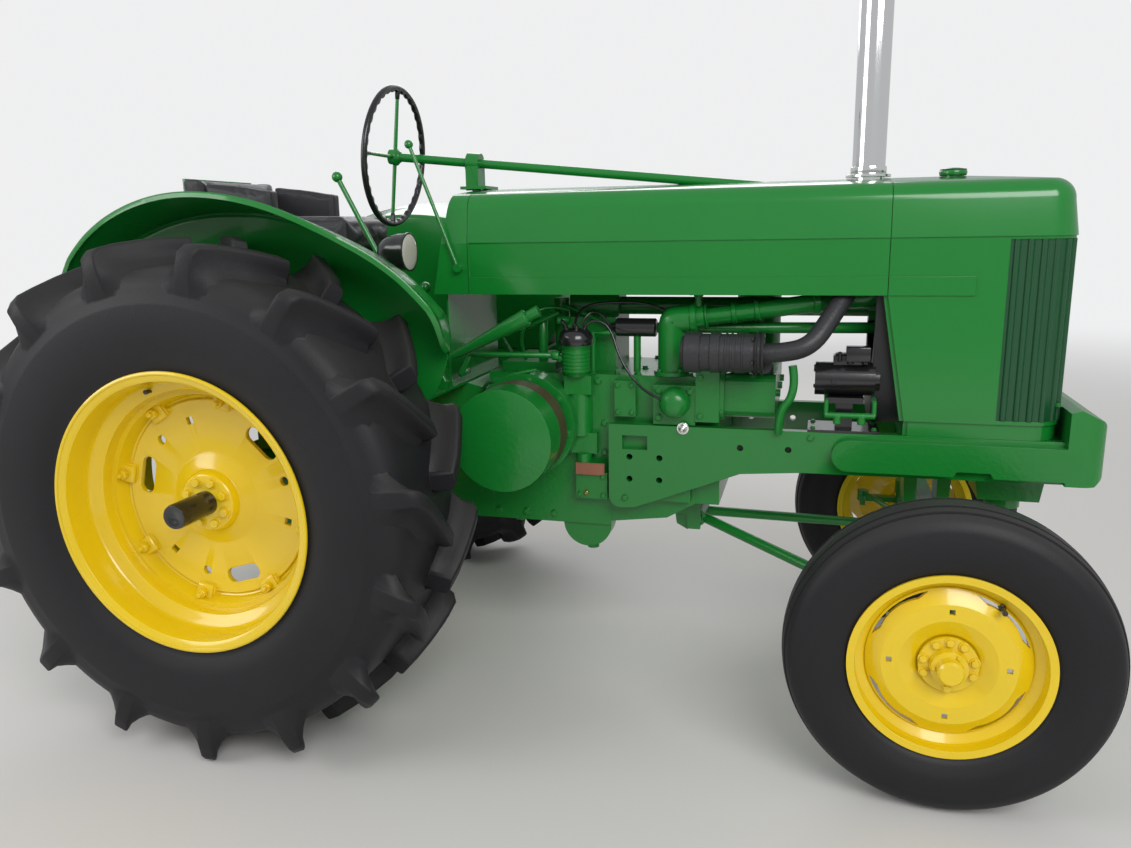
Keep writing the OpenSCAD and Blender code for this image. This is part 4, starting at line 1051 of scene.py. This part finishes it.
casting_bolts += [(place(x, y, z), UP, size) for z, size, spots in TOP_BOLTS for x, y in spots]
done(at_places(BOLT, casting_bolts), "casting_bolts", "chassis", "green_casting", smooth=30)

# %% [markdown]
# A plug of bright metal, a brass drain and a bare brown tag are the few parts left unpainted on this side. A
# bolt, a nut and a thin block with a sunk middle do for them, because all that is special is their finish.

# %% Bright plug, brass drain and bare tag
FINISHES["brass"] = finish("brass", (0.50, 0.34, 0.09), 0.30, drift=0.10, metallic=1)
FINISHES["bare_tag"] = finish("bare_tag", (0.30, 0.12, 0.07), 0.50, drift=0.45, grain=260, depth=0.3)
plug = at_places(BOLT, [(place(1.308, -0.260, 0.905), OUTWARDS, 0.030)])
plug_ball = bar(place(1.308, -0.262, 0.905), place(1.308, -0.282, 0.905), 0.013, 0.008, edge=0.004)
done(joined([plug, plug_ball]), "bright_plug", "chassis", "stack_chrome", smooth=35)
drain = at_places(NUT, [(place(0.985, -0.238, 0.668), OUTWARDS, 0.016)])
painted(done(drain, "brass_drain", "chassis", "green_casting", smooth=35), "brass")
tag = block((0.098, 0.002, 0.040), place(1.000, -0.2494, 0.752))
raised(tag, lambda spot: spot.y < -0.0005, 0.003, (0, 0.0006, 0))
painted(done(tag, "bare_tag", "chassis", "green_casting", smooth=30), "bare_tag")

# %% [markdown]
# A flat green disc closes the belt pulley. Its rolling face has lost its paint near the housing, where the
# belt ran, so a thin sleeve of worn steel goes round it there.

# %% Belt pulley
PULLEY_LOW, PULLEY_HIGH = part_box("belt_pulley")
PULLEY_R = (PULLEY_HIGH.z - PULLEY_LOW.z) / 2
FINISHES["worn_steel"] = finish(
    "worn_steel", (0.085, 0.070, 0.035), 0.48, drift=0.6, grain=140, depth=0.3, metallic=0.25,
)
DISC_PROFILE = [
    (0.002, PULLEY_R - 0.0002), (-0.0008, PULLEY_R - 0.0006), (-0.0018, PULLEY_R - 0.0030), (-0.0018, 0.0002),
]
SLEEVE_PROFILE = [
    (0.0, PULLEY_R - 0.010), (0.0, PULLEY_R - 0.0004), (0.040, PULLEY_R - 0.0001), (0.080, PULLEY_R - 0.0004),
    (0.080, PULLEY_R - 0.010),
]
disc = put(turned(DISC_PROFILE, steps=96), place(CRANK[0], PULLEY_LOW.y, CRANK[1]))
done(disc, "pulley_disc", "pulley", "green_casting", smooth=40)
sleeve = turned(SLEEVE_PROFILE, steps=96, closed=True)
put(sleeve, place(CRANK[0], PULLEY_LOW.y + 0.105, CRANK[1]))
painted(done(sleeve, "pulley_face", "pulley", "green_casting", smooth=40), "worn_steel")

# %% [markdown]
# The seat's cushion, back and sides are upholstered in black vinyl. A pad is drawn as a block that is smaller
# than its space, its faces divided, and then blown up as a cushion is stuffed: a voxel remesh gives cloth of
# even density, the cloth takes a little pressure, and each point's travel is capped so that the pad stays in
# its place.

# %% Seat pads
VOXEL, QUICK_VOXEL = 0.006, 0.012
PAD_EDGE = 0.018
CLOTH_PRESSURE = 4
CLOTH_FRAMES = 20


def stuffed(piece, swell):
    """Lets cloth swell under pressure, no point of it further than the swell."""
    before = [vertex.co.copy() for vertex in piece.data.vertices]
    cloth = piece.modifiers.new("stuffing", "CLOTH")
    cloth.settings.use_pressure = True
    cloth.settings.uniform_pressure_force = CLOTH_PRESSURE
    cloth.settings.effector_weights.gravity = 0
    for number in range(1, CLOTH_FRAMES + 1):
        bpy.context.scene.frame_set(number)
    graph = bpy.context.evaluated_depsgraph_get()
    blown = piece.evaluated_get(graph).to_mesh()
    after = [vertex.co.copy() for vertex in blown.vertices]
    piece.modifiers.remove(cloth)
    for vertex, start, end in zip(piece.data.vertices, before, after):
        move = end - start
        if move.length > swell:
            move *= swell / move.length
        vertex.co = start + move
    bpy.context.scene.frame_set(1)


def pad(name, low, high, profile=None, swell=0.010, node=None):
    """A stuffed pad between two corners, with its height changed by a profile."""
    piece = block((1, 1, 1))
    bpy.ops.mesh.subdivide(number_cuts=7)
    bpy.ops.object.mode_set(mode="OBJECT")
    size = high - low - Vector((2 * swell, 2 * swell, 2 * swell))
    centre = (low + high) / 2
    for vertex in piece.data.vertices:
        spot = vertex.co.copy()
        if profile:
            spot.z = profile(spot)
        vertex.co = Vector((centre.x + spot.x * size.x, centre.y + spot.y * size.y, centre.z + spot.z * size.z))
    bevelled(piece, PAD_EDGE, segments=3, angle=50)
    applied(piece, "REMESH", mode="VOXEL", voxel_size=VOXEL)
    stuffed(piece, swell)
    applied(piece, "SUBSURF", levels=1, render_levels=1)
    done(piece, name, "chassis", "seat_vinyl", [node] if node else (), smooth=180)


def crown(spot):
    """The cushion's top falls a little to the front and the rear."""
    return spot.z * (1.0 - 0.10 * (2 * spot.x) ** 2 * (spot.z > 0))


def back_top(spot):
    """The back's top rises to the rear in a slow wave."""
    return spot.z if spot.z < 0 else spot.z * (1.0 - 0.30 * (spot.x + 0.5) ** 2)


PADS = [
    # name, lowest corner, highest corner, profile, the node that it stands for
    ("seat_cushion_pad", (-0.398, -0.178, 1.460), (0.133, 0.178, 1.590), crown, "seat_cushion"),
    ("seat_back_pad", (-0.489, -0.245, 1.460), (-0.400, 0.245, 1.738), None, "seat_back"),
    ("seat_side_pad_right", (-0.398, -0.245, 1.460), (-0.104, -0.180, 1.722), back_top, "seat_back"),
    ("seat_side_pad_left", (-0.398, 0.180, 1.460), (-0.104, 0.245, 1.722), back_top, "seat_back"),
]
for name, low, high, profile, node in PADS:
    pad(name, place(*low), place(*high), profile, node=node)

# %% [markdown]
# Hood and nose are pressed sheet: one outline runs along the side, round the nose's corners and back, and one
# profile climbs from the lower edge over a recessed panel to the rounded shoulder and the ridge. A grid has a
# row for each place of the profile and a column for each place of the outline, so the whole panel is one grid
# whose points are put in place. The openings' faces are then deleted, the raised band is extruded, and
# Solidify gives the sheet its thickness.

# %% The sheet's profile
HOOD_SIDE = 0.270
HOOD_LOW, BAND_TOP, BROW, HOOD_TOP = 1.326, 1.380, 1.490, 1.6665
PANEL_DEPTH = 0.004
SHOULDER_R = 0.060
SHOULDER_STEPS = 12
SHOULDER_IN, SHOULDER_UP = 0.014, 1.588
SHOULDER_END = math.radians(76)
SHEET = 0.004
STEP = 0.0002  # the width of a sharp step in a panel

shoulder = [(PANEL_DEPTH, BROW - STEP), (0.0, BROW), (0.0, BROW + 0.004), (SHOULDER_IN, SHOULDER_UP)]
shoulder += [
    (SHOULDER_IN + SHOULDER_R * (1 - math.cos(a)), SHOULDER_UP + SHOULDER_R * math.sin(a))
    for a in (SHOULDER_END * step / SHOULDER_STEPS for step in range(1, SHOULDER_STEPS + 1))
]
shoulder += [(0.160, 1.6560), (HOOD_SIDE, HOOD_TOP)]
print("Rows over the shoulder:", len(shoulder))


def as_sheet(piece, thickness):
    """Gives a grid a wall on its inner side."""
    return applied(facing_out(piece, 1e-5), "SOLIDIFY", thickness=thickness, offset=-1)


# %% [markdown]
# The hood is the plain part of that sheet: the profile goes up one side, over the ridge and down the other.
# Its rear end has a flat margin, so the recessed panel starts a step further ahead.

# %% Hood
HOOD_BACK, HOOD_AHEAD = 0.605, 1.898
HOOD_MARGIN = 0.004
HOOD_COLUMNS = [HOOD_BACK, HOOD_BACK + HOOD_MARGIN, HOOD_BACK + HOOD_MARGIN + STEP, 1.0, 1.4, HOOD_AHEAD]
HOOD_ROWS = [(0.0, HOOD_LOW), (0.0, BAND_TOP - STEP), (PANEL_DEPTH, BAND_TOP)] + shoulder
HOOD_ROWS += [(2 * HOOD_SIDE - inset, up) for inset, up in reversed(HOOD_ROWS[:-1])]


def hood_point(i, j):
    inset, up = HOOD_ROWS[j]
    if i < 2 and min(inset, 2 * HOOD_SIDE - inset) == PANEL_DEPTH:
        inset = 0.0 if inset == PANEL_DEPTH else 2 * HOOD_SIDE
    return place(HOOD_COLUMNS[i], -HOOD_SIDE + inset, up)


hood = as_sheet(sheet_grid(len(HOOD_COLUMNS), len(HOOD_ROWS), hood_point), SHEET)
done(hood, "hood_sheet", "chassis", "green_sheet", ["hood"], smooth=28)

# %% [markdown]
# The nose goes on from the hood, round two corners, with a bar between its two openings. Its rear edge leans
# back where the side gets lower and is turned in as a lip, and a band is pressed out along each side.

# %% Nose
NOSE_BACK, NOSE_FRONT = 1.900, 2.400
CORNER_R = 0.095
CORNER_STEPS = 12
BAND_END = 2.133
OPENING_START = 2.214
CENTRE_BAR = 0.026
LIP = 0.009
SKIRT, SKIRT_TOP, SKIRT_BACK = 0.010, 0.9549, 1.976
LEAN_TOP, LEAN_HEIGHT, LEAN = 1.325, 0.370, 0.064
OPENING_LOW, OPENING_HIGH = 0.967, 1.482
NOSE_ROWS = [
    (SKIRT, 0.9105), (SKIRT, 0.9548), (PANEL_DEPTH, 0.955), (PANEL_DEPTH, OPENING_LOW), (PANEL_DEPTH, HOOD_LOW),
    (PANEL_DEPTH, BAND_TOP), (PANEL_DEPTH, OPENING_HIGH),
] + shoulder
LIP_BEND_ROW = 12
half_columns = [("lip", 0.012), ("lip", 0.0), ("side", 0.0), ("side", BAND_END), ("side", OPENING_START)]
half_columns += [("corner", math.pi / 2 * step / CORNER_STEPS) for step in range(CORNER_STEPS + 1)]
half_columns += [("front", CENTRE_BAR)]
NOSE_COLUMNS = [(-1, column) for column in half_columns] + [(1, column) for column in reversed(half_columns)]


def nose_point(i, j):
    inset, up = NOSE_ROWS[j]
    side, (kind, value) = NOSE_COLUMNS[i]
    back = SKIRT_BACK
    if up > SKIRT_TOP:
        back = NOSE_BACK + LEAN * max(0, (LEAN_TOP - up) / LEAN_HEIGHT)
    if kind == "lip":
        back -= value
        inset = min(inset + LIP, HOOD_SIDE)
        up -= 0.6 * LIP if j > LIP_BEND_ROW else 0
    if inset == HOOD_SIDE:  # the ridge, where both sides meet
        reach = NOSE_FRONT - HOOD_SIDE
        if kind in ("lip", "side") and value < 1:
            reach = min(back, reach)
        elif kind == "side":
            reach = min(value, reach)
        return place(reach, 0, up)
    radius = max(CORNER_R - inset, 0)
    centre_x, centre_y = NOSE_FRONT - inset - radius, HOOD_SIDE - inset - radius
    if kind in ("lip", "side"):
        return place(max(back, value) if value > 1 else back, side * (HOOD_SIDE - inset), up)
    if kind == "corner":
        return place(centre_x + radius * math.sin(value), side * (centre_y + radius * math.cos(value)), up)
    return place(NOSE_FRONT - inset, side * CENTRE_BAR * min(1, centre_y / CENTRE_BAR), up)


def in_opening(spot):
    ahead = spot.x - REAR_AXLE.x
    return OPENING_LOW < spot.z < OPENING_HIGH and ahead > OPENING_START and abs(spot.y) > CENTRE_BAR


def in_band(spot):
    ahead = spot.x - REAR_AXLE.x
    return HOOD_LOW < spot.z < BAND_TOP and NOSE_BACK < ahead < BAND_END and abs(spot.y) > HOOD_SIDE - 2 * PANEL_DEPTH


nose = sheet_grid(len(NOSE_COLUMNS), len(NOSE_ROWS), nose_point)
edit(nose)
pick(nose, in_opening, "FACE")
bpy.ops.mesh.delete(type="FACE")
for side in (-1, 1):
    pick(nose, lambda spot: in_band(spot) and spot.y * side > 0, "FACE")
    bpy.ops.mesh.extrude_region_move(TRANSFORM_OT_translate={"value": (0, side * PANEL_DEPTH, 0)})
as_sheet(nose, SHEET)
done(nose, "nose_sheet", "chassis", "green_sheet", ["nose_shell"], smooth=28)

# %% [markdown]
# A black shroud leads the air from the radiator to the fan. It could be a ring that is extruded outwards, but
# one closed grid does it at once: two rows for the round mouth, and two for a rounded box that runs forward
# to the core.

# %% Fan shroud
FAN_UP, SHROUD_R = 1.270, 0.206
SHROUD_BACK, SHROUD_FRONT = 1.872, 1.984
SHROUD_HALF, SHROUD_LOW, SHROUD_HIGH = 0.228, 0.925, 1.500
SHROUD_LIP, SHROUD_SHEET = 0.010, 0.003
SHROUD_SIDES = 64
SQUARENESS = 7


def shroud_point(i, j):
    """Rows 0 and 1 are the round mouth, row 2 the rear of the box and row 3 its front."""
    angle = math.tau * i / SHROUD_SIDES
    across, up = math.sin(angle), math.cos(angle)
    if j < 2:
        ahead = SHROUD_BACK + SHROUD_LIP if j == 0 else SHROUD_BACK
        return place(ahead, SHROUD_R * across, FAN_UP + SHROUD_R * up)
    reach = SHROUD_HIGH - FAN_UP if up > 0 else FAN_UP - SHROUD_LOW
    scale = (abs(across / SHROUD_HALF) ** SQUARENESS + abs(up / reach) ** SQUARENESS) ** (-1 / SQUARENESS)
    return place(SHROUD_BACK if j == 2 else SHROUD_FRONT, scale * across, FAN_UP + scale * up)


shroud = as_sheet(sheet_grid(SHROUD_SIDES + 1, 4, shroud_point), SHROUD_SHEET)
done(shroud, "fan_shroud", "chassis", "radiator_black", smooth=35)

# %% [markdown]
# The right side has a few more fittings of its own: the dome over the ball, the generator's strap and
# cut-out, the water pipe's clamps and drain cock. A turned dome, a block and many short bars make them all.

# %% Dome, clamps and generator's fittings
DOME_PROFILE = [
    (0.0, 0.0002), (0.0, 0.0485), (-0.014, 0.0490), (-0.030, 0.0480), (-0.044, 0.0430), (-0.054, 0.0330),
    (-0.0595, 0.0200), (-0.0610, 0.0002),
]
dome = put(turned(DOME_PROFILE, steps=48), place(1.281, -0.2455, 0.988))
WATER_START, WATER_END = place(1.258, -0.180, 1.238), place(1.721, -0.180, 1.298)
along_pipe = (WATER_END - WATER_START).normalized()


def on_pipe(start, end, radius, edge=0.003):
    return bar(WATER_START + along_pipe * start, WATER_START + along_pipe * end, radius, radius, edge=edge)


pipe_parts = [
    on_pipe(0.030, 0.110, 0.0375, 0.006), on_pipe(0.108, 0.116, 0.0400), on_pipe(0.190, 0.206, 0.0325),
    on_pipe(0.262, 0.278, 0.0325),
]
cock = WATER_START + along_pipe * 0.085
pipe_parts += [
    bar(cock, cock + Vector((0, 0, 0.070)), 0.013, 0.011),
    bar(cock + Vector((0, 0, 0.066)), cock + Vector((0, 0, 0.078)), 0.017, 0.015, sides=6),
    bar(cock + Vector((-0.028, 0, 0.074)), cock + Vector((0.030, 0, 0.078)), 0.005, 0.004),
]
ELBOW = (1.258, -0.180)
pipe_bolts = at_places(BOLT, [
    (place(ELBOW[0] + 0.047 * math.sin(a), ELBOW[1] + 0.047 * math.cos(a), 1.0775), UP, 0.017)
    for a in (math.radians(angle) for angle in (45, 135, 225, 315))
])
STRAP = [
    # start, end, radius
    ((1.742, -0.262, 1.010), (1.742, -0.262, 0.965), 0.007),
    ((1.880, -0.262, 1.010), (1.880, -0.262, 0.965), 0.007),
    ((1.738, -0.262, 0.966), (1.884, -0.262, 0.966), 0.009),
    ((1.775, -0.262, 0.940), (1.775, -0.262, 0.966), 0.012),
    ((1.845, -0.262, 0.940), (1.845, -0.262, 0.966), 0.012),
    ((1.742, -0.262, 1.006), (1.742, -0.160, 1.020), 0.007),
    ((1.880, -0.262, 1.006), (1.880, -0.160, 1.020), 0.007),
]
strap_bars = [bar(place(*start), place(*end), radius) for start, end, radius in STRAP]
side_parts = joined([dome, pipe_bolts] + pipe_parts + strap_bars)
done(side_parts, "dome_clamps_and_strap", "chassis", "green_casting", smooth=40)

cutout = bevelled(block((0.070, 0.052, 0.044), place(1.828, -0.232, 1.150)), 0.003)
posts = [bar(place(x, -0.232, 1.128), place(x, -0.232, 1.118), 0.010) for x in (1.806, 1.850)]
terminal = bar(place(1.775, -0.250, 1.128), place(1.775, -0.250, 1.158), 0.006, 0.005)
done(joined([cutout] + posts + [terminal]), "generator_cutout", "chassis", "gloss_black", smooth=35)

# %% [markdown]
# The rear rims are rolled: their flanges curl outwards. The disc inside has three long slots, with round and
# square holes between them, and eight pads for the clamps. Rim, rail and disc are turned. The openings are then
# cut with cutters of their own shape, which leaves the disc's turned steps as they are.

# %% Rear rims and discs
RIM_OUTSIDE = [  # from the middle plane, radius; the tyre's side
    (0.1920, 0.4040), (0.1905, 0.4090), (0.1870, 0.4110), (0.1830, 0.4100), (0.1800, 0.4050), (0.1780, 0.3960),
    (0.1740, 0.3895), (0.1660, 0.3865), (0.1150, 0.3855), (0.0980, 0.3830), (0.0890, 0.3760), (0.0820, 0.3610),
    (0.0740, 0.3500), (0.0620, 0.3460),
]
RIM_INSIDE = [  # the axle's side
    (0.0620, 0.3370), (0.0790, 0.3410), (0.0890, 0.3540), (0.0960, 0.3690), (0.1030, 0.3745), (0.1160, 0.3765),
    (0.1680, 0.3775), (0.1790, 0.3810), (0.1850, 0.3890), (0.1865, 0.3960), (0.1880, 0.3990), (0.1905, 0.4000),
]
RAIL_PROFILE = [
    (-0.016, 0.322), (-0.016, 0.339), (0.044, 0.339), (0.044, 0.322), (0.041, 0.299), (0.034, 0.297),
    (0.028, 0.300), (0.022, 0.310), (-0.004, 0.318),
]
PLATE_PROFILE = [
    (-0.028, 0.0), (-0.028, 0.080), (-0.026, 0.085), (-0.020, 0.089), (0.000, 0.094), (0.006, 0.102), (0.010, 0.118),
    (0.019, 0.133), (0.022, 0.145), (0.022, 0.289), (0.019, 0.294), (0.019, 0.299), (0.023, 0.302), (0.038, 0.302),
    (0.038, 0.090), (0.040, 0.086), (0.082, 0.086), (0.082, 0.0),
]
HUB_CAP_PROFILE = [
    (-0.163, 0.0), (-0.163, 0.0325), (-0.1595, 0.036), (-0.029, 0.036), (-0.027, 0.030), (-0.027, 0.0),
]
OPENING_R = 0.242
SLOT_HALF = 0.034
OPENINGS = [("slot", 44), ("round", 74.5), ("square", 104)]  # each three times, from this angle
PAD_R = 0.306


def opening(shape, angle):
    """A cutter through the disc: a long slot, a round or a square hole."""
    nothing_selected()
    sides, radius = {"slot": (32, 0.024), "round": (24, 0.014), "square": (4, 0.0155)}[shape]
    bpy.ops.mesh.primitive_cylinder_add(vertices=sides, radius=radius, depth=0.06, rotation=(math.pi / 2, 0, 0))
    piece = bpy.context.object
    bpy.ops.object.transform_apply(location=False, rotation=True, scale=True)
    for vertex in piece.data.vertices:
        if shape == "slot":
            vertex.co.x += math.copysign(SLOT_HALF, vertex.co.x + 1e-5)
        if shape == "square":
            vertex.co = Matrix.Rotation(math.pi / 4, 3, "Y") @ vertex.co
    piece.data.transform(Matrix.Rotation(angle, 4, "Y") @ Matrix.Translation((0, 0.030, OPENING_R)))
    return piece


def clamp_pad(angle):
    piece = bevelled(block((0.058, 0.019, 0.046)), 0.004, 2, 40)
    piece.data.transform(Matrix.Rotation(math.radians(angle), 4, "Y") @ Matrix.Translation((0, 0.0195, PAD_R)))
    return piece


rim = turned(
    [(-y, r) for y, r in RIM_OUTSIDE] + [(y, r) for y, r in reversed(RIM_OUTSIDE)]
    + [(y, r) for y, r in reversed(RIM_INSIDE)] + [(-y, r) for y, r in RIM_INSIDE],
    steps=128, closed=True,
)
rail = turned(RAIL_PROFILE, steps=96, closed=True)
disc = turned(PLATE_PROFILE, steps=96)
cutter = joined([
    opening(shape, math.radians(start + 120 * number)) for shape, start in OPENINGS for number in range(3)
])
applied(facing_out(disc), "BOOLEAN", operation="DIFFERENCE", solver="EXACT", object=cutter)
bpy.data.objects.remove(cutter)
bevelled(disc, 0.0015, 2, 40)
disc_parts = [disc] + [clamp_pad(angle) for angle in CLAMP_ANGLES]
wheel = joined(disc_parts + [turned(HUB_CAP_PROFILE, steps=48), rail])
wheel = joined([rim, put(wheel, (0, -DISC_OUT, 0))])
put(wheel, (REAR_AXLE.x, REAR_WHEEL_Y, REAR_AXLE.z))
both_sides(wheel, "rear_rim_and_disc", "rear", "wheel_yellow", "rear_wheel", smooth=35)

# %% [markdown]
# The exhaust leaves its heat shield in one long bend, and the water pipe bends twice on its way from the cast
# elbow to the radiator's upper tank. Each run is a smooth curve with a round section, and a short drum stands
# wherever the section changes.

# %% Exhaust and water pipe
MUFFLER_AHEAD = (1.330, 1.556)
COLLAR_AHEAD = (1.312, 1.331)
PORTS = (1.478, 1.552)
exhaust_parts = [
    bar(*(place(ahead, *EXHAUST_LINE) for ahead in MUFFLER_AHEAD), EXHAUST_R, sides=48, edge=0.006),
    bar(*(place(ahead, *EXHAUST_LINE) for ahead in COLLAR_AHEAD), 0.048, sides=48, edge=0.003),
    tube(route(
        (1.540, -0.330, 1.159), (1.600, -0.330, 1.160), (1.690, -0.330, 1.180), (1.745, -0.270, 1.262),
        (1.800, -0.190, 1.352), (1.838, -0.090, 1.395), (1.840, -0.010, 1.440), (1.840, 0.0, 1.500),
        (1.840, 0.0, 1.600),
    ), 0.029, 6),
]
exhaust_parts += [
    tube(route(
        (ahead, -0.300, 1.122), (ahead, -0.250, 1.122), (ahead, -0.205, 1.122), (ahead, -0.200, 1.104),
        (ahead, -0.200, 1.081),
    ), 0.030, 5)
    for ahead in PORTS
]
done(joined(exhaust_parts), "exhaust_drum_and_pipe", "chassis", "exhaust_black", ["exhaust_manifold"], smooth=40)

water_parts = [
    bar(place(*ELBOW, 1.062), place(*ELBOW, 1.078), 0.056, sides=48, edge=0.003),
    tube(route(
        (1.258, -0.180, 1.076), (1.258, -0.180, 1.150), (1.258, -0.180, 1.236), (1.274, -0.180, 1.243),
        (1.330, -0.180, 1.246),
    ), 0.044, 6),
    tube(route(
        (1.310, -0.180, 1.244), (1.460, -0.180, 1.262), (1.660, -0.180, 1.292), (1.745, -0.165, 1.299),
        (1.790, -0.105, 1.302), (1.870, -0.105, 1.306), (1.900, -0.105, 1.350), (1.922, -0.105, 1.470),
        (1.940, -0.105, 1.560), (1.975, -0.105, 1.595), (2.050, -0.105, 1.595),
    ), 0.028, 6),
    bar(place(1.318, -0.180, 1.245), place(1.340, -0.180, 1.247), 0.0475, sides=48, edge=0.004),
    bar(place(1.690, -0.178, 1.295), place(1.712, -0.174, 1.297), 0.033, sides=48, edge=0.003),
]
done(joined(water_parts), "water_pipe", "chassis", "green_casting", ["intake_pipe"], smooth=40)

# %% [markdown]
# A fender is one pressed sheet: an inner plate, a round corner and a crown that rises a little to its outer
# edge, which narrows to the rear in a long curve and is rolled down. A grid can follow all of that: one table
# gives its foot, one its outer edge and one the crown, and Solidify gives it a wall.

# %% Fenders
FENDER_R = 0.885
FENDER_IN = 0.603
FENDER_START, FENDER_END = -59.6, 58  # degrees from the top, ahead
FENDER_CORNER = 0.018
FENDER_RISE = 0.19
FENDER_SHEET = 0.0045
DROOP, DROOP_START = 0.075, 50
FENDER_FOOT = [  # place along the crown from 0 to 1, foot's place ahead of and above the axle
    (0.00, -0.766, 0.432), (0.14, -0.560, 0.267), (0.84, 0.585, 0.267), (0.88, 0.608, 0.283),
    (0.91, 0.628, 0.312), (0.95, 0.646, 0.352), (0.98, 0.656, 0.383), (1.00, 0.663, 0.402),
]
FENDER_EDGE = [  # ahead of the axle, edge's distance from the tractor's middle
    (-0.764, 0.607), (-0.740, 0.612), (-0.705, 0.630), (-0.660, 0.660), (-0.613, 0.688), (-0.538, 0.728),
    (-0.436, 0.762), (-0.343, 0.786), (-0.211, 0.814), (-0.076, 0.842), (0.030, 0.860), (0.150, 0.867),
    (0.330, 0.866), (0.400, 0.860), (0.470, 0.836), (0.550, 0.798), (0.600, 0.780), (0.650, 0.773),
    (0.680, 0.768), (0.697, 0.763), (0.716, 0.750), (0.734, 0.722), (0.742, 0.697), (0.7505, 0.655),
]
FENDER_CROWN = [  # part of the way out, drop below the crown's line
    (0.35, 0), (0.70, 0), (0.93, 0), (0.97, -0.0025), (0.99, -0.0025), (1.0, 0.001), (1.0, 0.012),
]
FENDER_COLUMNS = 97
PLATE_ROWS, ROUND_ROWS = 3, 4


def between_rows(table, key):
    """Reads a table between its rows."""
    for before, after in zip(table, table[1:]):
        if key <= after[0]:
            share = max(0, (key - before[0]) / (after[0] - before[0]))
            return [a + share * (b - a) for a, b in zip(before[1:], after[1:])]
    return list(table[-1][1:])


def on_fender(i, j):
    """A point of the right fender: column i along the tyre, row j from the plate's foot to the rolled edge."""
    place_along = i / (FENDER_COLUMNS - 1)
    angle = math.radians(FENDER_START + place_along * (FENDER_END - FENDER_START))
    foot_x, foot_z = between_rows(FENDER_FOOT, place_along)
    edge = between_rows(FENDER_EDGE, FENDER_R * math.sin(angle))[0]
    droop = DROOP * max(0, (math.degrees(angle) - DROOP_START) / (FENDER_END - DROOP_START)) ** 2
    inner_r = FENDER_R - 0.003 - FENDER_RISE * (edge - FENDER_IN) - droop
    if j < PLATE_ROWS:
        share = j / PLATE_ROWS
        top_r = inner_r - FENDER_CORNER
        x = foot_x + share * (top_r * math.sin(angle) - foot_x)
        z = foot_z + share * (top_r * math.cos(angle) - foot_z)
        return (x, -FENDER_IN, z)
    corner = min(FENDER_CORNER, 0.4 * (edge - FENDER_IN))
    if j < PLATE_ROWS + ROUND_ROWS:
        turn = (j - PLATE_ROWS) / (ROUND_ROWS - 1) * math.pi / 2
        across, radius = FENDER_IN + corner * (1 - math.cos(turn)), inner_r - corner * (1 - math.sin(turn))
    else:
        share, drop = FENDER_CROWN[j - PLATE_ROWS - ROUND_ROWS]
        across = FENDER_IN + corner + share * (edge - FENDER_IN - corner)
        radius = inner_r + FENDER_RISE * (across - FENDER_IN) - drop
    return (radius * math.sin(angle), -across, radius * math.cos(angle))


fender = facing_out(sheet_grid(FENDER_COLUMNS, PLATE_ROWS + ROUND_ROWS + len(FENDER_CROWN), on_fender))
facing_out(applied(fender, "SOLIDIFY", thickness=FENDER_SHEET, offset=0))
put(fender, (REAR_AXLE.x, 0, REAR_AXLE.z))
done(joined([fender, mirrored(fender)]), "fender_sheets", "chassis", "green_sheet", ["fenders"], smooth=35)

# %% [markdown]
# The bolt and the nut were only models to copy, so they go.

# %% The models go
for model in (BOLT, NUT):
    bpy.data.objects.remove(model)
